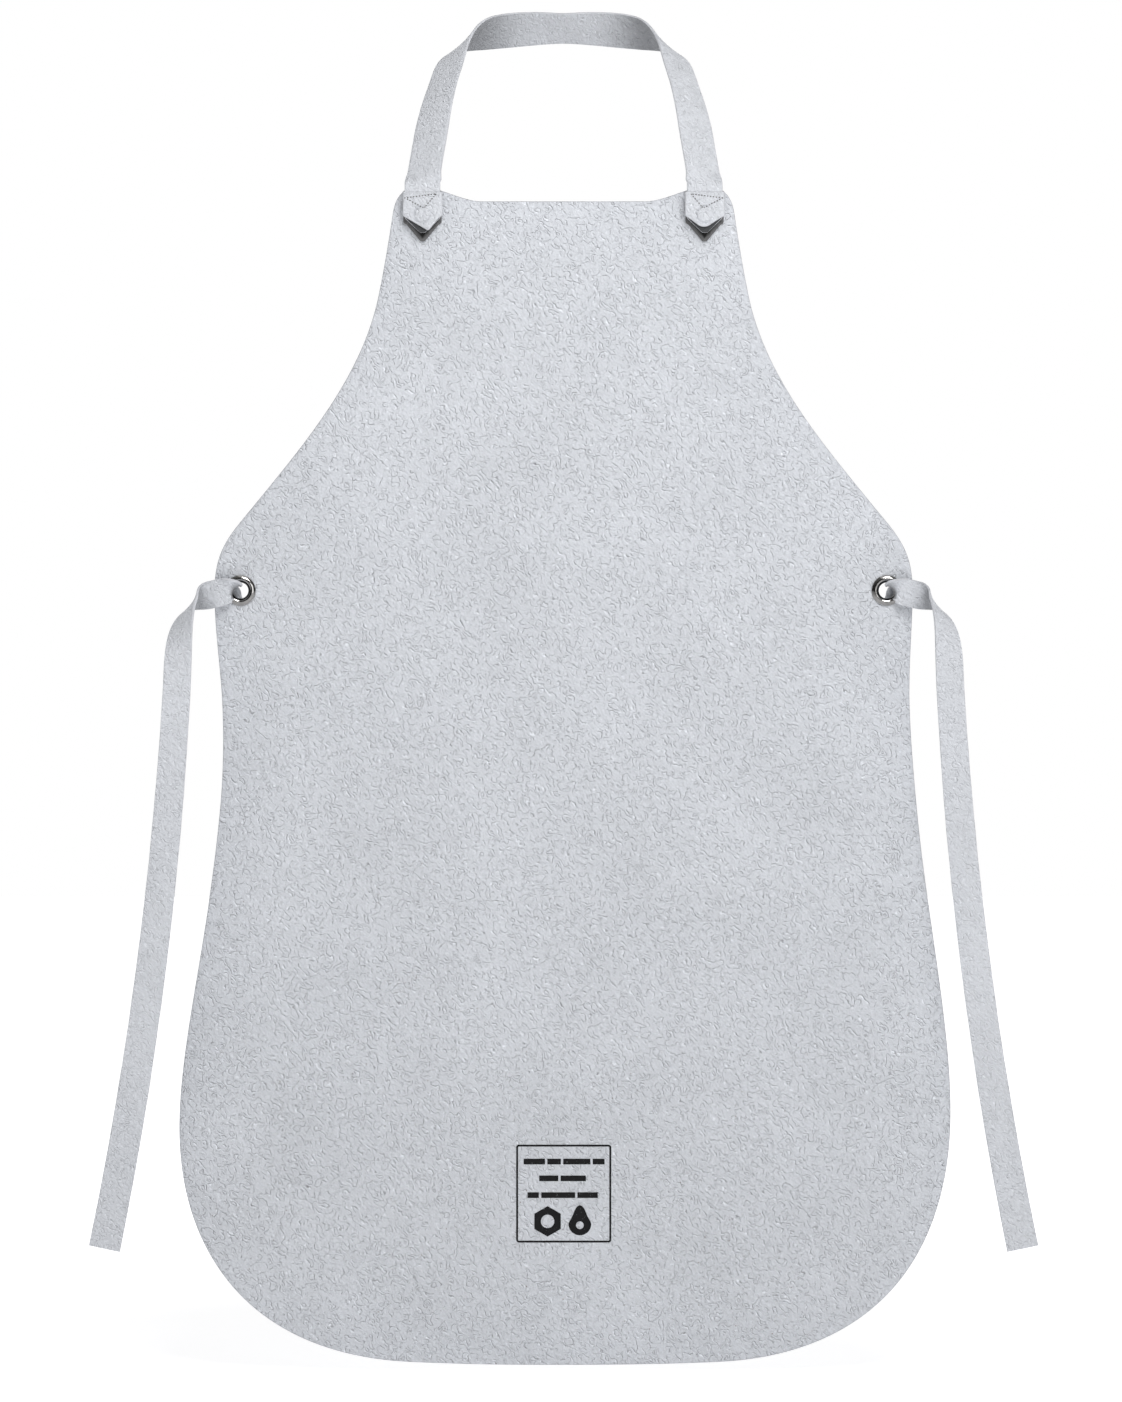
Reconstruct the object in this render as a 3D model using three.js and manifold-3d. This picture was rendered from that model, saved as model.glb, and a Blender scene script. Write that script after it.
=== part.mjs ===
// Welding apron: a leather panel hung from a neck strap on two press-stud tabs, with two waist ties
// knotted through metal eyelets. Millimetres, +Z up, the front faces -Y.
// Origin: middle of the inner face of the neck strap's back, where the neck or a peg carries it.
import * as THREE from 'three';
import { mergeVertices } from 'three/addons/utils/BufferGeometryUtils.js';
import Module from 'manifold-3d';

const wasm = await Module();
wasm.setup();

// ---- driving dimensions ----
const PANEL_T = 1.5;
const STRAP_T = 2.0;
const STRAP_W = 28.5;
const TAB_W = 30.5;
const LEG_X = 109; // strap leg's centreline from the middle
const STRAP_SLANT = 43.5; // the line it rolls round, above level; the strap crosses it at the same angle
// Degrees of roll, each eased in between two distances from the stitch line: 180 in all.
const STRAP_ROLLS = [[35, 4, 20], [17, 47, 106], [128, 113, 222]];
const STITCH_UP = 905; // stitch line above the hem
const BACK_TILT = 28; // the strap's back leans its top edge forwards, degrees
const HINGE_UP = 9; // strap's bending line above the stitch line
const STUD_DOWN = 14.8; // press stud below the stitch line
const EYELET_X = 250;
const EYELET_UP = 600; // above the hem
const EYELET_R = 12;
const EYELET_BORE = 7.2;
const TIE_T = 2.0;
const TIE_W = [21.3, 24.4]; // at the fold and at the free end
const TIE_DROP = 472; // fold to free end
const TIE_SPLAY = [0.035, 0.00019]; // how the hanging tie drifts outwards: per mm, and per mm squared
const TIE_ROLL = 8; // radius of the tie's fold
const TIE_RUN_DEG = -11; // the tie's way from the eyelet to the fold, below level
const TIE_HANG_DEG = -88;
const TIE_FOLD_AT = { out: 23, down: 7.5 }; // where the fold starts, from the eyelet's centre
const RIVET_HOLE_R = 1.5;
const BEVEL = 1.2; // strips taper to an edge over this length where they bend
const EDGE_T = 0.5;

// Layers of a tab, as [back, front] in millimetres in front of the bib's front face.
const LAYER = {
  patch: [0.3, 1.9],
  strapEnd: [5.6, 7.6],
  tab: [7.9, 9.5],
  thread: [9.6, 10.1],
  tie: 6.6,
};

// ---- what follows from them ----
const RAD = Math.PI / 180;
const { lerp, smoothstep } = THREE.MathUtils;
const STRAP_LINE = strapLine(); // left half of the strap's middle line, from the stitch line
const STRAP_HALF = STRAP_LINE[STRAP_LINE.length - 1];
const BACK_Y = (STRAP_T / 2) * Math.cos(BACK_TILT * RAD); // mid thickness of the strap's back
const BACK_Z = (STRAP_T / 2) * Math.sin(BACK_TILT * RAD);
const STITCH_Z = BACK_Z - STRAP_HALF.c.z;
const HEM_Z = STITCH_Z - STITCH_UP;
const LEG_Y = BACK_Y - STRAP_HALF.c.y;
const BIB_Y = LEG_Y + (LAYER.strapEnd[0] + LAYER.strapEnd[1]) / 2; // front face of the panel
const EYELET_Z = HEM_Z + EYELET_UP;

function material(name, color, roughness, metalness = 0) {
  return new THREE.MeshStandardMaterial({ name, color, roughness, metalness });
}
const splitLeather = material('split_leather', 0xcdd0d6, 0.9);
const strapLeather = material('strap_leather', 0xcbced4, 0.9);
const backingLeather = material('backing_leather', 0x2a2a2c, 0.9);
const nickel = material('nickel', 0xb8b8bc, 0.25, 1);
const thread = material('thread', 0xdcdde0, 0.8);

const part = new THREE.Group();
part.name = 'welding_apron';

// ---- closed solids ----
// y of a plane that lies d in front of the bib's front face
const inFront = (d) => BIB_Y - d;

function signedVolume(geometry) {
  const p = geometry.attributes.position;
  const ix = geometry.index.array;
  const [a, b, c] = [new THREE.Vector3(), new THREE.Vector3(), new THREE.Vector3()];
  let volume = 0;
  for (let i = 0; i < ix.length; i += 3) {
    a.fromBufferAttribute(p, ix[i]);
    b.fromBufferAttribute(p, ix[i + 1]);
    c.fromBufferAttribute(p, ix[i + 2]);
    volume += a.dot(b.cross(c)) / 6;
  }
  return volume;
}

// One closed body with shared vertices, its faces turned outwards.
function solid(geometry) {
  const bare = new THREE.BufferGeometry();
  bare.setAttribute('position', geometry.attributes.position);
  if (geometry.index) bare.setIndex(geometry.index);
  const merged = mergeVertices(bare, 1e-4);
  const ix = merged.index.array;
  const kept = [];
  for (let i = 0; i < ix.length; i += 3) {
    const corners = [ix[i], ix[i + 1], ix[i + 2]];
    if (new Set(corners).size === 3) kept.push(...corners);
  }
  merged.setIndex(kept);
  if (signedVolume(merged) < 0) {
    for (let i = 0; i < kept.length; i += 3) [kept[i], kept[i + 1]] = [kept[i + 1], kept[i]];
    merged.setIndex(kept);
  }
  return merged;
}

function toManifold(geometry) {
  const g = solid(geometry);
  const vertProperties = new Float32Array(g.attributes.position.array);
  const triVerts = new Uint32Array(g.index.array);
  return new wasm.Manifold(new wasm.Mesh({ numProp: 3, vertProperties, triVerts }));
}

function fromManifold(body) {
  const m = body.getMesh();
  const g = new THREE.BufferGeometry();
  g.setAttribute('position', new THREE.BufferAttribute(new Float32Array(m.vertProperties), 3));
  g.setIndex([...m.triVerts]);
  return g;
}

function add(name, geometry, look) {
  const g = solid(geometry).toNonIndexed();
  g.computeVertexNormals();
  const mesh = new THREE.Mesh(g, look);
  mesh.name = name;
  part.add(mesh);
}

// A flat piece in the XZ plane, from `back` to `front` millimetres in front of the bib's face.
function plate(shape, [back, front]) {
  const g = new THREE.ExtrudeGeometry(shape, { depth: front - back, bevelEnabled: false, curveSegments: 12 });
  return g.rotateX(Math.PI / 2).translate(0, inFront(back), 0);
}

// A turned piece about the Y axis through (x, z); profile as [radius, millimetres in front of the bib].
function turned(profile, x, z, segments = 32) {
  const g = new THREE.LatheGeometry(profile.map(([r, d]) => new THREE.Vector2(r, d)), segments);
  return g.rotateX(Math.PI).translate(x, BIB_Y, z);
}

function hole(x, z, r) {
  return new THREE.Path().absarc(x, z, r, 0, Math.PI * 2, true);
}

// A strip of leather through frames {c, t, w, n, width, thick}, with a section of twelve sides whose
// corners are rounder where the strip is gathered.
function strip(frames) {
  const sides = 12;
  const points = frames.flatMap((f) => [...Array(sides)].map((_, k) => {
    const turn = ((k + 0.5) / sides) * Math.PI * 2;
    const power = 2 / (2 + 6 * (1 - (f.gathered ?? 0)));
    const bent = (v) => Math.sign(v) * Math.abs(v) ** power;
    return f.c.clone()
      .addScaledVector(f.w, (bent(Math.cos(turn)) * f.width) / 2)
      .addScaledVector(f.n, (bent(Math.sin(turn)) * f.thick) / 2);
  }));
  const ix = [];
  const last = (frames.length - 1) * sides;
  for (let ring = 0; ring < last; ring += sides) {
    for (let k = 0; k < sides; k += 1) {
      const [a, b] = [ring + k, ring + ((k + 1) % sides)];
      ix.push(a, b, b + sides, a, b + sides, a + sides);
    }
  }
  for (let k = 1; k < sides - 1; k += 1) ix.push(0, k + 1, k, last, last + k, last + k + 1);
  return new THREE.BufferGeometry().setFromPoints(points).setIndex(ix);
}

// Frames with a bevelled end added before the first or after the last.
function bevelled(frames, atStart, atEnd) {
  const tip = (f, along) => ({ ...f, c: f.c.clone().addScaledVector(f.t, along), thick: EDGE_T });
  const start = atStart ? [tip(frames[0], -BEVEL)] : [];
  const end = atEnd ? [tip(frames[frames.length - 1], BEVEL)] : [];
  return [...start, ...frames, ...end];
}

const range = (count) => [...Array(count).keys()];
const X = new THREE.Vector3(1, 0, 0);
const Y = new THREE.Vector3(0, 1, 0);
const Z = new THREE.Vector3(0, 0, 1);

// ---- panel: bib and skirt in one, symmetrical about the middle ----
// Half of the outline as curves from the middle of the hem round to the middle of the bib's top, each
// [handle, handle, end] as [distance from the middle, height above the hem].
const OUTLINE = [
  [[40, 0], [80, 0.5], [120, 2.5]], // hem
  [[236, 8], [298.5, 80], [298.5, 190]], // rounded lower corner
  [[298.5, 274], [266, 384], [266, 510]], // side up to the waist
  [[266, 540], [270, 570], [270, 600]], // waist, and the ear that holds the eyelet
  [[270, 634], [256, 645], [236, 670]],
  [[198.5, 716], [157.5, 765], [144, 824]], // armhole
  [[139, 847], [134.5, 875], [132, 892]], // side of the bib
  [[130.5, 902], [126, 912], [112, 912]], // corner of the bib, over the tab
  [[94, 912], [88, 901], [60, 901]],
  [[40, 901], [20, 901], [0, 901]],
];

function panelShape() {
  const at = ([x, up], sign) => [sign * x, HEM_Z + up];
  const shape = new THREE.Shape().moveTo(0, HEM_Z);
  for (const [a, b, end] of OUTLINE) shape.bezierCurveTo(...at(a, 1), ...at(b, 1), ...at(end, 1));
  for (let i = OUTLINE.length - 1; i >= 0; i -= 1) {
    const [a, b] = OUTLINE[i];
    const end = i ? OUTLINE[i - 1][2] : [0, 0];
    shape.bezierCurveTo(...at(b, -1), ...at(a, -1), ...at(end, -1));
  }
  return shape;
}

function makePanel() {
  const shape = panelShape();
  for (const side of [-1, 1]) {
    shape.holes.push(hole(side * EYELET_X, EYELET_Z, EYELET_BORE + 1.2));
    shape.holes.push(hole(side * LEG_X, STITCH_Z - STUD_DOWN, RIVET_HOLE_R));
  }
  add('apron_panel', plate(shape, [-PANEL_T, 0]), splitLeather);
}

// ---- neck strap: each half rolls half a turn round a slanting line ----
function strapRoll(along) {
  const eased = STRAP_ROLLS.map(([deg, from, to]) => deg * smoothstep(along, from, to));
  return eased.reduce((sum, deg) => sum + deg, 0) * RAD;
}

// The roll's axis, the side it faces at that point of the strap, and the strap's way; the left half.
function strapSides(along) {
  const [roll, slant] = [strapRoll(along), STRAP_SLANT * RAD];
  const axis = new THREE.Vector3(Math.cos(slant), 0, Math.sin(slant));
  const out = new THREE.Vector3(-Math.sin(slant), 0, Math.cos(slant));
  const e = out.multiplyScalar(Math.cos(roll)).addScaledVector(new THREE.Vector3(0, 1, 0), Math.sin(roll));
  const t = axis.clone().multiplyScalar(Math.cos(slant)).addScaledVector(e, Math.sin(slant));
  return { roll, slant, axis, e, t };
}

// Points every half millimetre from the stitch line until the strap reaches the middle.
function strapLine() {
  const step = 0.5;
  const c = new THREE.Vector3();
  const line = [{ along: 0, c: c.clone() }];
  while (c.x < LEG_X) {
    const { along } = line[line.length - 1];
    const { t } = strapSides(along + step / 2);
    const ds = Math.min(step, (LEG_X - c.x) / Math.max(t.x, 1e-6));
    line.push({ along: along + ds, c: c.addScaledVector(t, ds).clone() });
  }
  return line;
}

// The left half's frame at a distance along the strap from its stitch line; w points inwards on the leg
// and up on the back, n points to the inner face.
function strapFrame(along) {
  const { roll, slant, axis, e, t } = strapSides(along);
  const next = STRAP_LINE.findIndex((p, i) => i > 0 && p.along >= along - 1e-9);
  const [a, b] = [STRAP_LINE[next - 1], STRAP_LINE[next]];
  const c = a.c.clone().lerp(b.c, (along - a.along) / (b.along - a.along));
  c.add(new THREE.Vector3(-LEG_X, LEG_Y, STITCH_Z));
  const lean = BACK_TILT * RAD * smoothstep(roll, 0.72 * Math.PI, Math.PI);
  const w = axis.multiplyScalar(Math.sin(slant)).addScaledVector(e, -Math.cos(slant)).applyAxisAngle(t, lean);
  return { c, t, w, n: t.clone().cross(w), width: STRAP_W, thick: STRAP_T };
}

function mirroredFrame(f) {
  const c = new THREE.Vector3(-f.c.x, f.c.y, f.c.z);
  const t = new THREE.Vector3(f.t.x, -f.t.y, -f.t.z);
  const w = new THREE.Vector3(-f.w.x, f.w.y, f.w.z);
  return { ...f, c, t, w, n: t.clone().cross(w) };
}

function makeNeckStrap() {
  const start = HINGE_UP + 0.9 + BEVEL; // clear of the ends, as the strap leaves them at a slant
  const middle = STRAP_HALF.along;
  const steps = 36;
  const half = range(steps + 1).map((i) => strapFrame(start + ((middle - start) * i) / steps));
  const other = half.slice(0, -1).reverse().map(mirroredFrame);
  add('neck_strap', strip(bevelled([...half, ...other], true, true)), strapLeather);
}

// ---- the strap's ends, tabs, stitching and press studs ----
// A strip's end with its top edge, shoulders and blunt point at heights from the stitch line.
function pointed(width, top, shoulder, tip) {
  const [h, corner, blunt] = [width / 2, 2.5, 2];
  return new THREE.Shape()
    .moveTo(-h, top)
    .lineTo(-h, shoulder + corner)
    .quadraticCurveTo(-h, shoulder, -h + corner, shoulder - corner / 2)
    .lineTo(-blunt, tip + blunt / 2)
    .quadraticCurveTo(0, tip - blunt / 4, blunt, tip + blunt / 2)
    .lineTo(h - corner, shoulder - corner / 2)
    .quadraticCurveTo(h, shoulder, h, shoulder + corner)
    .lineTo(h, top)
    .closePath();
}

function withStudHole(shape) {
  shape.holes.push(hole(0, -STUD_DOWN, RIVET_HOLE_R));
  return shape;
}

// The strap's end lies under the tab, and narrows to an edge at the bending line.
function makeStrapEnd(side, x) {
  const top = HINGE_UP - BEVEL - 0.15;
  const width = STRAP_W - 1;
  const flat = plate(withStudHole(pointed(width, top, -17.5, -28.5)), LAYER.strapEnd).translate(x, 0, STITCH_Z);
  const nose = [[top - 0.05, STRAP_T], [top + BEVEL, EDGE_T]].map(([up, thick]) => (
    { c: new THREE.Vector3(x, LEG_Y, STITCH_Z + up), w: X, n: Y, width, thick }
  ));
  const joined = toManifold(flat).add(toManifold(strip(nose)));
  add(`strap_end_${side}`, fromManifold(joined), strapLeather);
}

// The tab is the outer ply; it bulges over the press stud's cap, which sits in a recess behind.
function makeTab(side, x) {
  const [back, front] = LAYER.tab;
  const studZ = STITCH_Z - STUD_DOWN;
  const ply = plate(pointed(TAB_W, 6.5, -16, -26.5), LAYER.tab).translate(x, 0, STITCH_Z);
  const bulge = turned([[0, front - 0.3], [6.1, front - 0.3], [6, front + 0.3], [5.2, front + 0.7],
    [0, front + 0.8]], x, studZ);
  const recess = turned([[0, back - 0.4], [6.2, back - 0.4], [6.2, back + 1.2], [0, back + 1.2]], x, studZ);
  const body = toManifold(ply).add(toManifold(bulge)).subtract(toManifold(recess));
  add(`tab_${side}`, fromManifold(body), strapLeather);
}

// One closed triangle of thread above the stud, point down.
function makeStitching(side, x) {
  const triangle = (grow) => new THREE.Shape()
    .moveTo(-10.8 - 1.7 * grow, grow)
    .lineTo(10.8 + 1.7 * grow, grow)
    .lineTo(0, -7.2 - 1.3 * grow)
    .closePath();
  const [back, front] = LAYER.thread;
  const outer = toManifold(plate(triangle(0.35), LAYER.thread));
  const inner = toManifold(plate(triangle(-0.35), [back - 1, front + 1]));
  add(`stitching_${side}`, fromManifold(outer.subtract(inner)).translate(x, 0, STITCH_Z), thread);
}

// Cap and socket grip the strap; stud and post grip the bib and its patch.
function makePressStud(side, x) {
  const profiles = {
    snap_cap: [[0, 5.6], [1.2, 5.6], [1.2, 7.9], [5.9, 7.9], [5.9, 8.3], [4.9, 8.7], [0, 8.8]],
    snap_socket: [[2.3, 3.6], [4.7, 3.4], [5.2, 3.8], [5.2, 5.3], [2.3, 5.3], [2.3, 3.6]],
    snap_stud: [[0, 2.3], [4.6, 2.3], [4.6, 2.8], [3.4, 3.1], [1.6, 3.1], [1.9, 4.2], [1.4, 5], [0, 5.1]],
    snap_post: [[0, -2.6], [4.4, -2.5], [5, -2.1], [5, -1.8], [1.2, -1.8], [1.2, 2], [0, 2]],
  };
  for (const [name, profile] of Object.entries(profiles)) {
    add(`${name}_${side}`, turned(profile, x, STITCH_Z - STUD_DOWN), nickel);
  }
}

// Dark pointed backing on the bib, showing as a V under the tab's point.
function makeBackingPatch(side, x) {
  const shape = withStudHole(pointed(TAB_W - 1, 4, -21, -35.5));
  add(`backing_patch_${side}`, plate(shape, LAYER.patch).translate(x, 0, STITCH_Z), backingLeather);
}

// ---- eyelets: flange and barrel from the front, rolled over a washer behind ----
function makeEyelet(side, sign) {
  const b = EYELET_BORE;
  const eyelet = [
    [b, -3.4], [b, 1], [b + 0.5, 1.9], [b + 1.7, 2.3], [b + 3.3, 1.9], [EYELET_R - 0.2, 0.8],
    [EYELET_R, 0.3], [EYELET_R - 0.6, 0.2], [b + 0.8, 0.2], [b + 0.8, -2.7], [b + 2.3, -2.7],
    [b + 2.2, -3.3], [b + 1, -3.7], [b + 0.3, -3.7], [b, -3.4],
  ];
  const washer = [
    [b + 1.1, -2.4], [b + 1.1, -1.7], [EYELET_R - 0.4, -1.7], [EYELET_R - 0.2, -2],
    [EYELET_R - 0.7, -2.4], [b + 1.1, -2.4],
  ];
  add(`eyelet_${side}`, turned(eyelet, sign * EYELET_X, EYELET_Z, 40), nickel);
  add(`eyelet_washer_${side}`, turned(washer, sign * EYELET_X, EYELET_Z, 40), nickel);
}

// ---- waist ties, made for the right-hand side and mirrored ----
// The tie rolls half a turn round the line that halves the angle between its run and its drop.
function foldFrame(turn) {
  const bisector = ((TIE_RUN_DEG + TIE_HANG_DEG) / 2) * RAD;
  const slant = ((TIE_RUN_DEG - TIE_HANG_DEG) / 2) * RAD;
  const axis = new THREE.Vector3(Math.cos(bisector), 0, Math.sin(bisector));
  const out = new THREE.Vector3(-Math.sin(bisector), 0, Math.cos(bisector));
  const c = new THREE.Vector3(EYELET_X + TIE_FOLD_AT.out, inFront(LAYER.tie), EYELET_Z - TIE_FOLD_AT.down)
    .addScaledVector(axis, (TIE_ROLL * turn) / Math.tan(slant))
    .addScaledVector(out, TIE_ROLL * Math.sin(turn))
    .addScaledVector(Y, TIE_ROLL * (Math.cos(turn) - 1));
  const e = out.multiplyScalar(Math.cos(turn)).addScaledVector(Y, -Math.sin(turn));
  const t = axis.clone().multiplyScalar(Math.cos(slant)).addScaledVector(e, Math.sin(slant));
  const w = e.multiplyScalar(Math.cos(slant)).addScaledVector(axis, -Math.sin(slant));
  return { c, t, w, n: t.clone().cross(w), width: TIE_W[0], thick: TIE_T };
}

// From behind the eyelet, through its bore and over its rim, to the fold: gathered, then spreading flat.
function gatheredFrames() {
  const at = (out, front, up) => new THREE.Vector3(EYELET_X + out, inFront(front), EYELET_Z + up);
  const route = new THREE.CatmullRomCurve3([
    at(2.4, -6, -0.5), at(2.4, -2, -0.5), at(2.6, 2.5, -0.7), at(6.2, 6.6, -2), at(13, 6.9, -4.9),
    at(TIE_FOLD_AT.out, LAYER.tie, -TIE_FOLD_AT.down),
  ]);
  const count = 12;
  return range(count).map((i) => {
    const u = i / count;
    const t = route.getTangentAt(u);
    const w = Z.clone().addScaledVector(t, -t.z).normalize();
    const width = lerp(8.5, TIE_W[0], smoothstep(u, 0.35, 1));
    const thick = lerp(5.6, TIE_T, smoothstep(u, 0.3, 0.75));
    return { c: route.getPointAt(u), t, w, n: t.clone().cross(w), width, thick, gathered: 1 - u };
  });
}

function hangingFrames() {
  const top = foldFrame(Math.PI).c;
  const [lean, curl] = TIE_SPLAY;
  const [start, steps] = [1 + BEVEL, 22];
  return range(steps + 1).map((i) => {
    const drop = start + ((TIE_DROP - start) * i) / steps;
    const c = top.clone().add(new THREE.Vector3(lean * drop + curl * drop * drop, 0, -drop));
    const t = new THREE.Vector3(lean + 2 * curl * drop, 0, -1).normalize();
    const w = new THREE.Vector3(t.z, 0, -t.x);
    return { c, t, w, n: Y, width: lerp(...TIE_W, i / steps), thick: TIE_T };
  });
}

// Overhand knot behind the eyelet, with the tie's short tail.
function knotGeometry() {
  const lump = new THREE.SphereGeometry(1, 18, 12).scale(10.5, 9, 11);
  lump.translate(EYELET_X + 7, inFront(-15.6), EYELET_Z - 1);
  const tail = [0, 1].map((i) => ({
    c: new THREE.Vector3(EYELET_X + 8 - 3 * i, inFront(-16 - i), EYELET_Z - 6 - 18 * i),
    w: X,
    n: Y,
    width: 14,
    thick: TIE_T,
  }));
  return fromManifold(toManifold(lump).add(toManifold(strip(tail))));
}

function makeTie(side, sign) {
  const rolled = range(13).map((i) => foldFrame((Math.PI * i) / 12.4));
  const pieces = {
    tie_root: strip(bevelled([...gatheredFrames(), ...rolled], false, true)),
    tie: strip(bevelled(hangingFrames(), true, false)),
    tie_knot: knotGeometry(),
  };
  for (const [name, geometry] of Object.entries(pieces)) {
    add(`${name}_${side}`, geometry.scale(sign, 1, 1), strapLeather);
  }
}

// ---- assembly ----
makePanel();
makeNeckStrap();
for (const [side, sign] of [['left', -1], ['right', 1]]) {
  const legX = sign * LEG_X;
  makeStrapEnd(side, legX);
  makeTab(side, legX);
  makeStitching(side, legX);
  makePressStud(side, legX);
  makeBackingPatch(side, legX);
  makeEyelet(side, sign);
  makeTie(side, sign);
}

export default part;
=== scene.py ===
import math

import bmesh
import bpy
import numpy as np
from mathutils import Matrix, Vector, geometry, kdtree, noise


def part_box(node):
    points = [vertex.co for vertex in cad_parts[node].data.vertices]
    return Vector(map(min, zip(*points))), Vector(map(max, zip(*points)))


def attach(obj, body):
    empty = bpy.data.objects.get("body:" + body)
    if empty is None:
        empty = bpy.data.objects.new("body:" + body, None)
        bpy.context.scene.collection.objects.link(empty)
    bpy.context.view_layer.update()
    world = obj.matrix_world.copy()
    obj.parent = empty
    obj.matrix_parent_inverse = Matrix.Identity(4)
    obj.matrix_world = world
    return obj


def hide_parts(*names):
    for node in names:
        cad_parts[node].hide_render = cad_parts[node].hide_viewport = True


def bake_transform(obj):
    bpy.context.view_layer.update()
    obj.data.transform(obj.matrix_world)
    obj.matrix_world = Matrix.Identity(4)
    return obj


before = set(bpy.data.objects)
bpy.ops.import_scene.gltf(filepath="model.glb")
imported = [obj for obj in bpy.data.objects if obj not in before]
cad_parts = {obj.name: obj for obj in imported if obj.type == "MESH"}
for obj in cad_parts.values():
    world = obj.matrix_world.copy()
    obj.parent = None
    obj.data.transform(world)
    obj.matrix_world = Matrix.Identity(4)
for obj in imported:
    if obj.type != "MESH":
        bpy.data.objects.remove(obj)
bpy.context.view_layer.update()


# ---- Studio ----
# A white sweep under big soft lights, as for catalogue work. The apron hangs upright just clear of the
# floor, square to the lens, which is about five metres away at the height of its middle.
SEEN_HEIGHT = 1.0843
LENS_DISTANCE = 5.0
LENS_ABOVE_HEM = 0.5145
LENS_ASIDE = -0.002
SENSOR_WIDE = 36
FAR = 60
FLOOR_GAP = 0.004
FLOOR_HALF = 12.0
FLOOR_GREY = (0.55, 0.55, 0.56, 1)
WHITE = (1, 1, 1, 1)
BIB_AND_SKIRT = (0.05, -0.09, -0.75)
# Each lamp: place, what it points at, width in metres, power in watts.
LAMPS = {
    "key_light": ((0.45, -1.9, 1.4), BIB_AND_SKIRT, 1.1, 40),
    "fill_light": ((1.4, -2.6, -0.1), BIB_AND_SKIRT, 1.4, 9.5),
    "top_light": ((0.1, -0.5, 1.7), (0, -0.05, -0.4), 1.6, 3.5),
    "back_light": ((-1.4, 2.4, 0.9), (0, -0.09, -0.5), 2.0, 20),
}

panel_low, panel_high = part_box("apron_panel")
BIB_FRONT = panel_low.y
BIB_BACK = panel_high.y
HEM = panel_low.z
LOOK_AT = Vector((LENS_ASIDE, BIB_FRONT, HEM + LENS_ABOVE_HEM))

camera = bpy.data.objects.new("camera", bpy.data.cameras.new("camera"))
camera.data.sensor_width = SENSOR_WIDE
camera.data.lens = SENSOR_WIDE * LENS_DISTANCE / SEEN_HEIGHT
camera.data.clip_end = FAR
camera.location = LOOK_AT + Vector((0, -LENS_DISTANCE, 0))
camera.rotation_euler = (math.radians(90), 0, 0)
bpy.context.collection.objects.link(camera)
bpy.context.scene.camera = camera
bpy.context.scene.view_settings.view_transform = "Standard"


def softbox(name, place, aim, size, power):
    """A square area light that points from place to aim."""
    lamp = bpy.data.lights.new(name, "AREA")
    lamp.size = size
    lamp.energy = power
    made = bpy.data.objects.new(name, lamp)
    made.location = place
    made.rotation_euler = (Vector(aim) - Vector(place)).to_track_quat("-Z", "Y").to_euler()
    bpy.context.collection.objects.link(made)


for name, (place, aim, size, power) in LAMPS.items():
    softbox(name, place, aim, size, power)


def put(tree, kind, inputs=None, **settings):
    """A new node; an input given a socket is linked to it, and any other value is its default."""
    made = tree.nodes.new(kind)
    for key, value in settings.items():
        setattr(made, key, value)
    for key, value in (inputs or {}).items():
        if isinstance(value, bpy.types.NodeSocket):
            tree.links.new(value, made.inputs[key])
        else:
            made.inputs[key].default_value = value
    return made


def ranged(tree, value, low, high, start, end, easing="LINEAR"):
    """A value that goes from start to end as the given one goes from low to high."""
    return put(tree, "ShaderNodeMapRange", {"Value": value, "From Min": low, "From Max": high,
                                            "To Min": start, "To Max": end},
               interpolation_type=easing).outputs["Result"]


def new_finish(name):
    """An empty material, with its tree, its shader and the place on the object."""
    paint = bpy.data.materials.new(name)
    paint.use_nodes = True
    tree = paint.node_tree
    return paint, tree, tree.nodes["Principled BSDF"], put(tree, "ShaderNodeTexCoord").outputs["Object"]


def light_the_room():
    """White where the lens looks, a pale room that darkens behind it, and black flags for the metal."""
    world = bpy.data.worlds.new("studio")
    world.use_nodes = True
    tree = world.node_tree
    tree.nodes.clear()
    way = put(tree, "ShaderNodeTexCoord").outputs["Generated"]
    split = put(tree, "ShaderNodeSeparateXYZ", {"Vector": way})
    seen = put(tree, "ShaderNodeLightPath").outputs["Is Camera Ray"]
    mirrored = put(tree, "ShaderNodeLightPath").outputs["Is Glossy Ray"]
    pale = ranged(tree, split.outputs["Y"], -0.75, 0.15, 0.05, 0.42)
    dark = ranged(tree, split.outputs["Z"], 0.25, 0.8, 0.02, 0.14)
    room = put(tree, "ShaderNodeBackground", {"Color": WHITE, "Strength": pale})
    flags = put(tree, "ShaderNodeBackground", {"Color": WHITE, "Strength": dark})
    sweep = put(tree, "ShaderNodeBackground", {"Color": WHITE, "Strength": 1.0})
    toned = put(tree, "ShaderNodeMixShader", {0: mirrored, 1: room.outputs[0], 2: flags.outputs[0]})
    mixed = put(tree, "ShaderNodeMixShader", {0: seen, 1: toned.outputs[0], 2: sweep.outputs[0]})
    put(tree, "ShaderNodeOutputWorld", {"Surface": mixed.outputs[0]})
    bpy.context.scene.world = world


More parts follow.
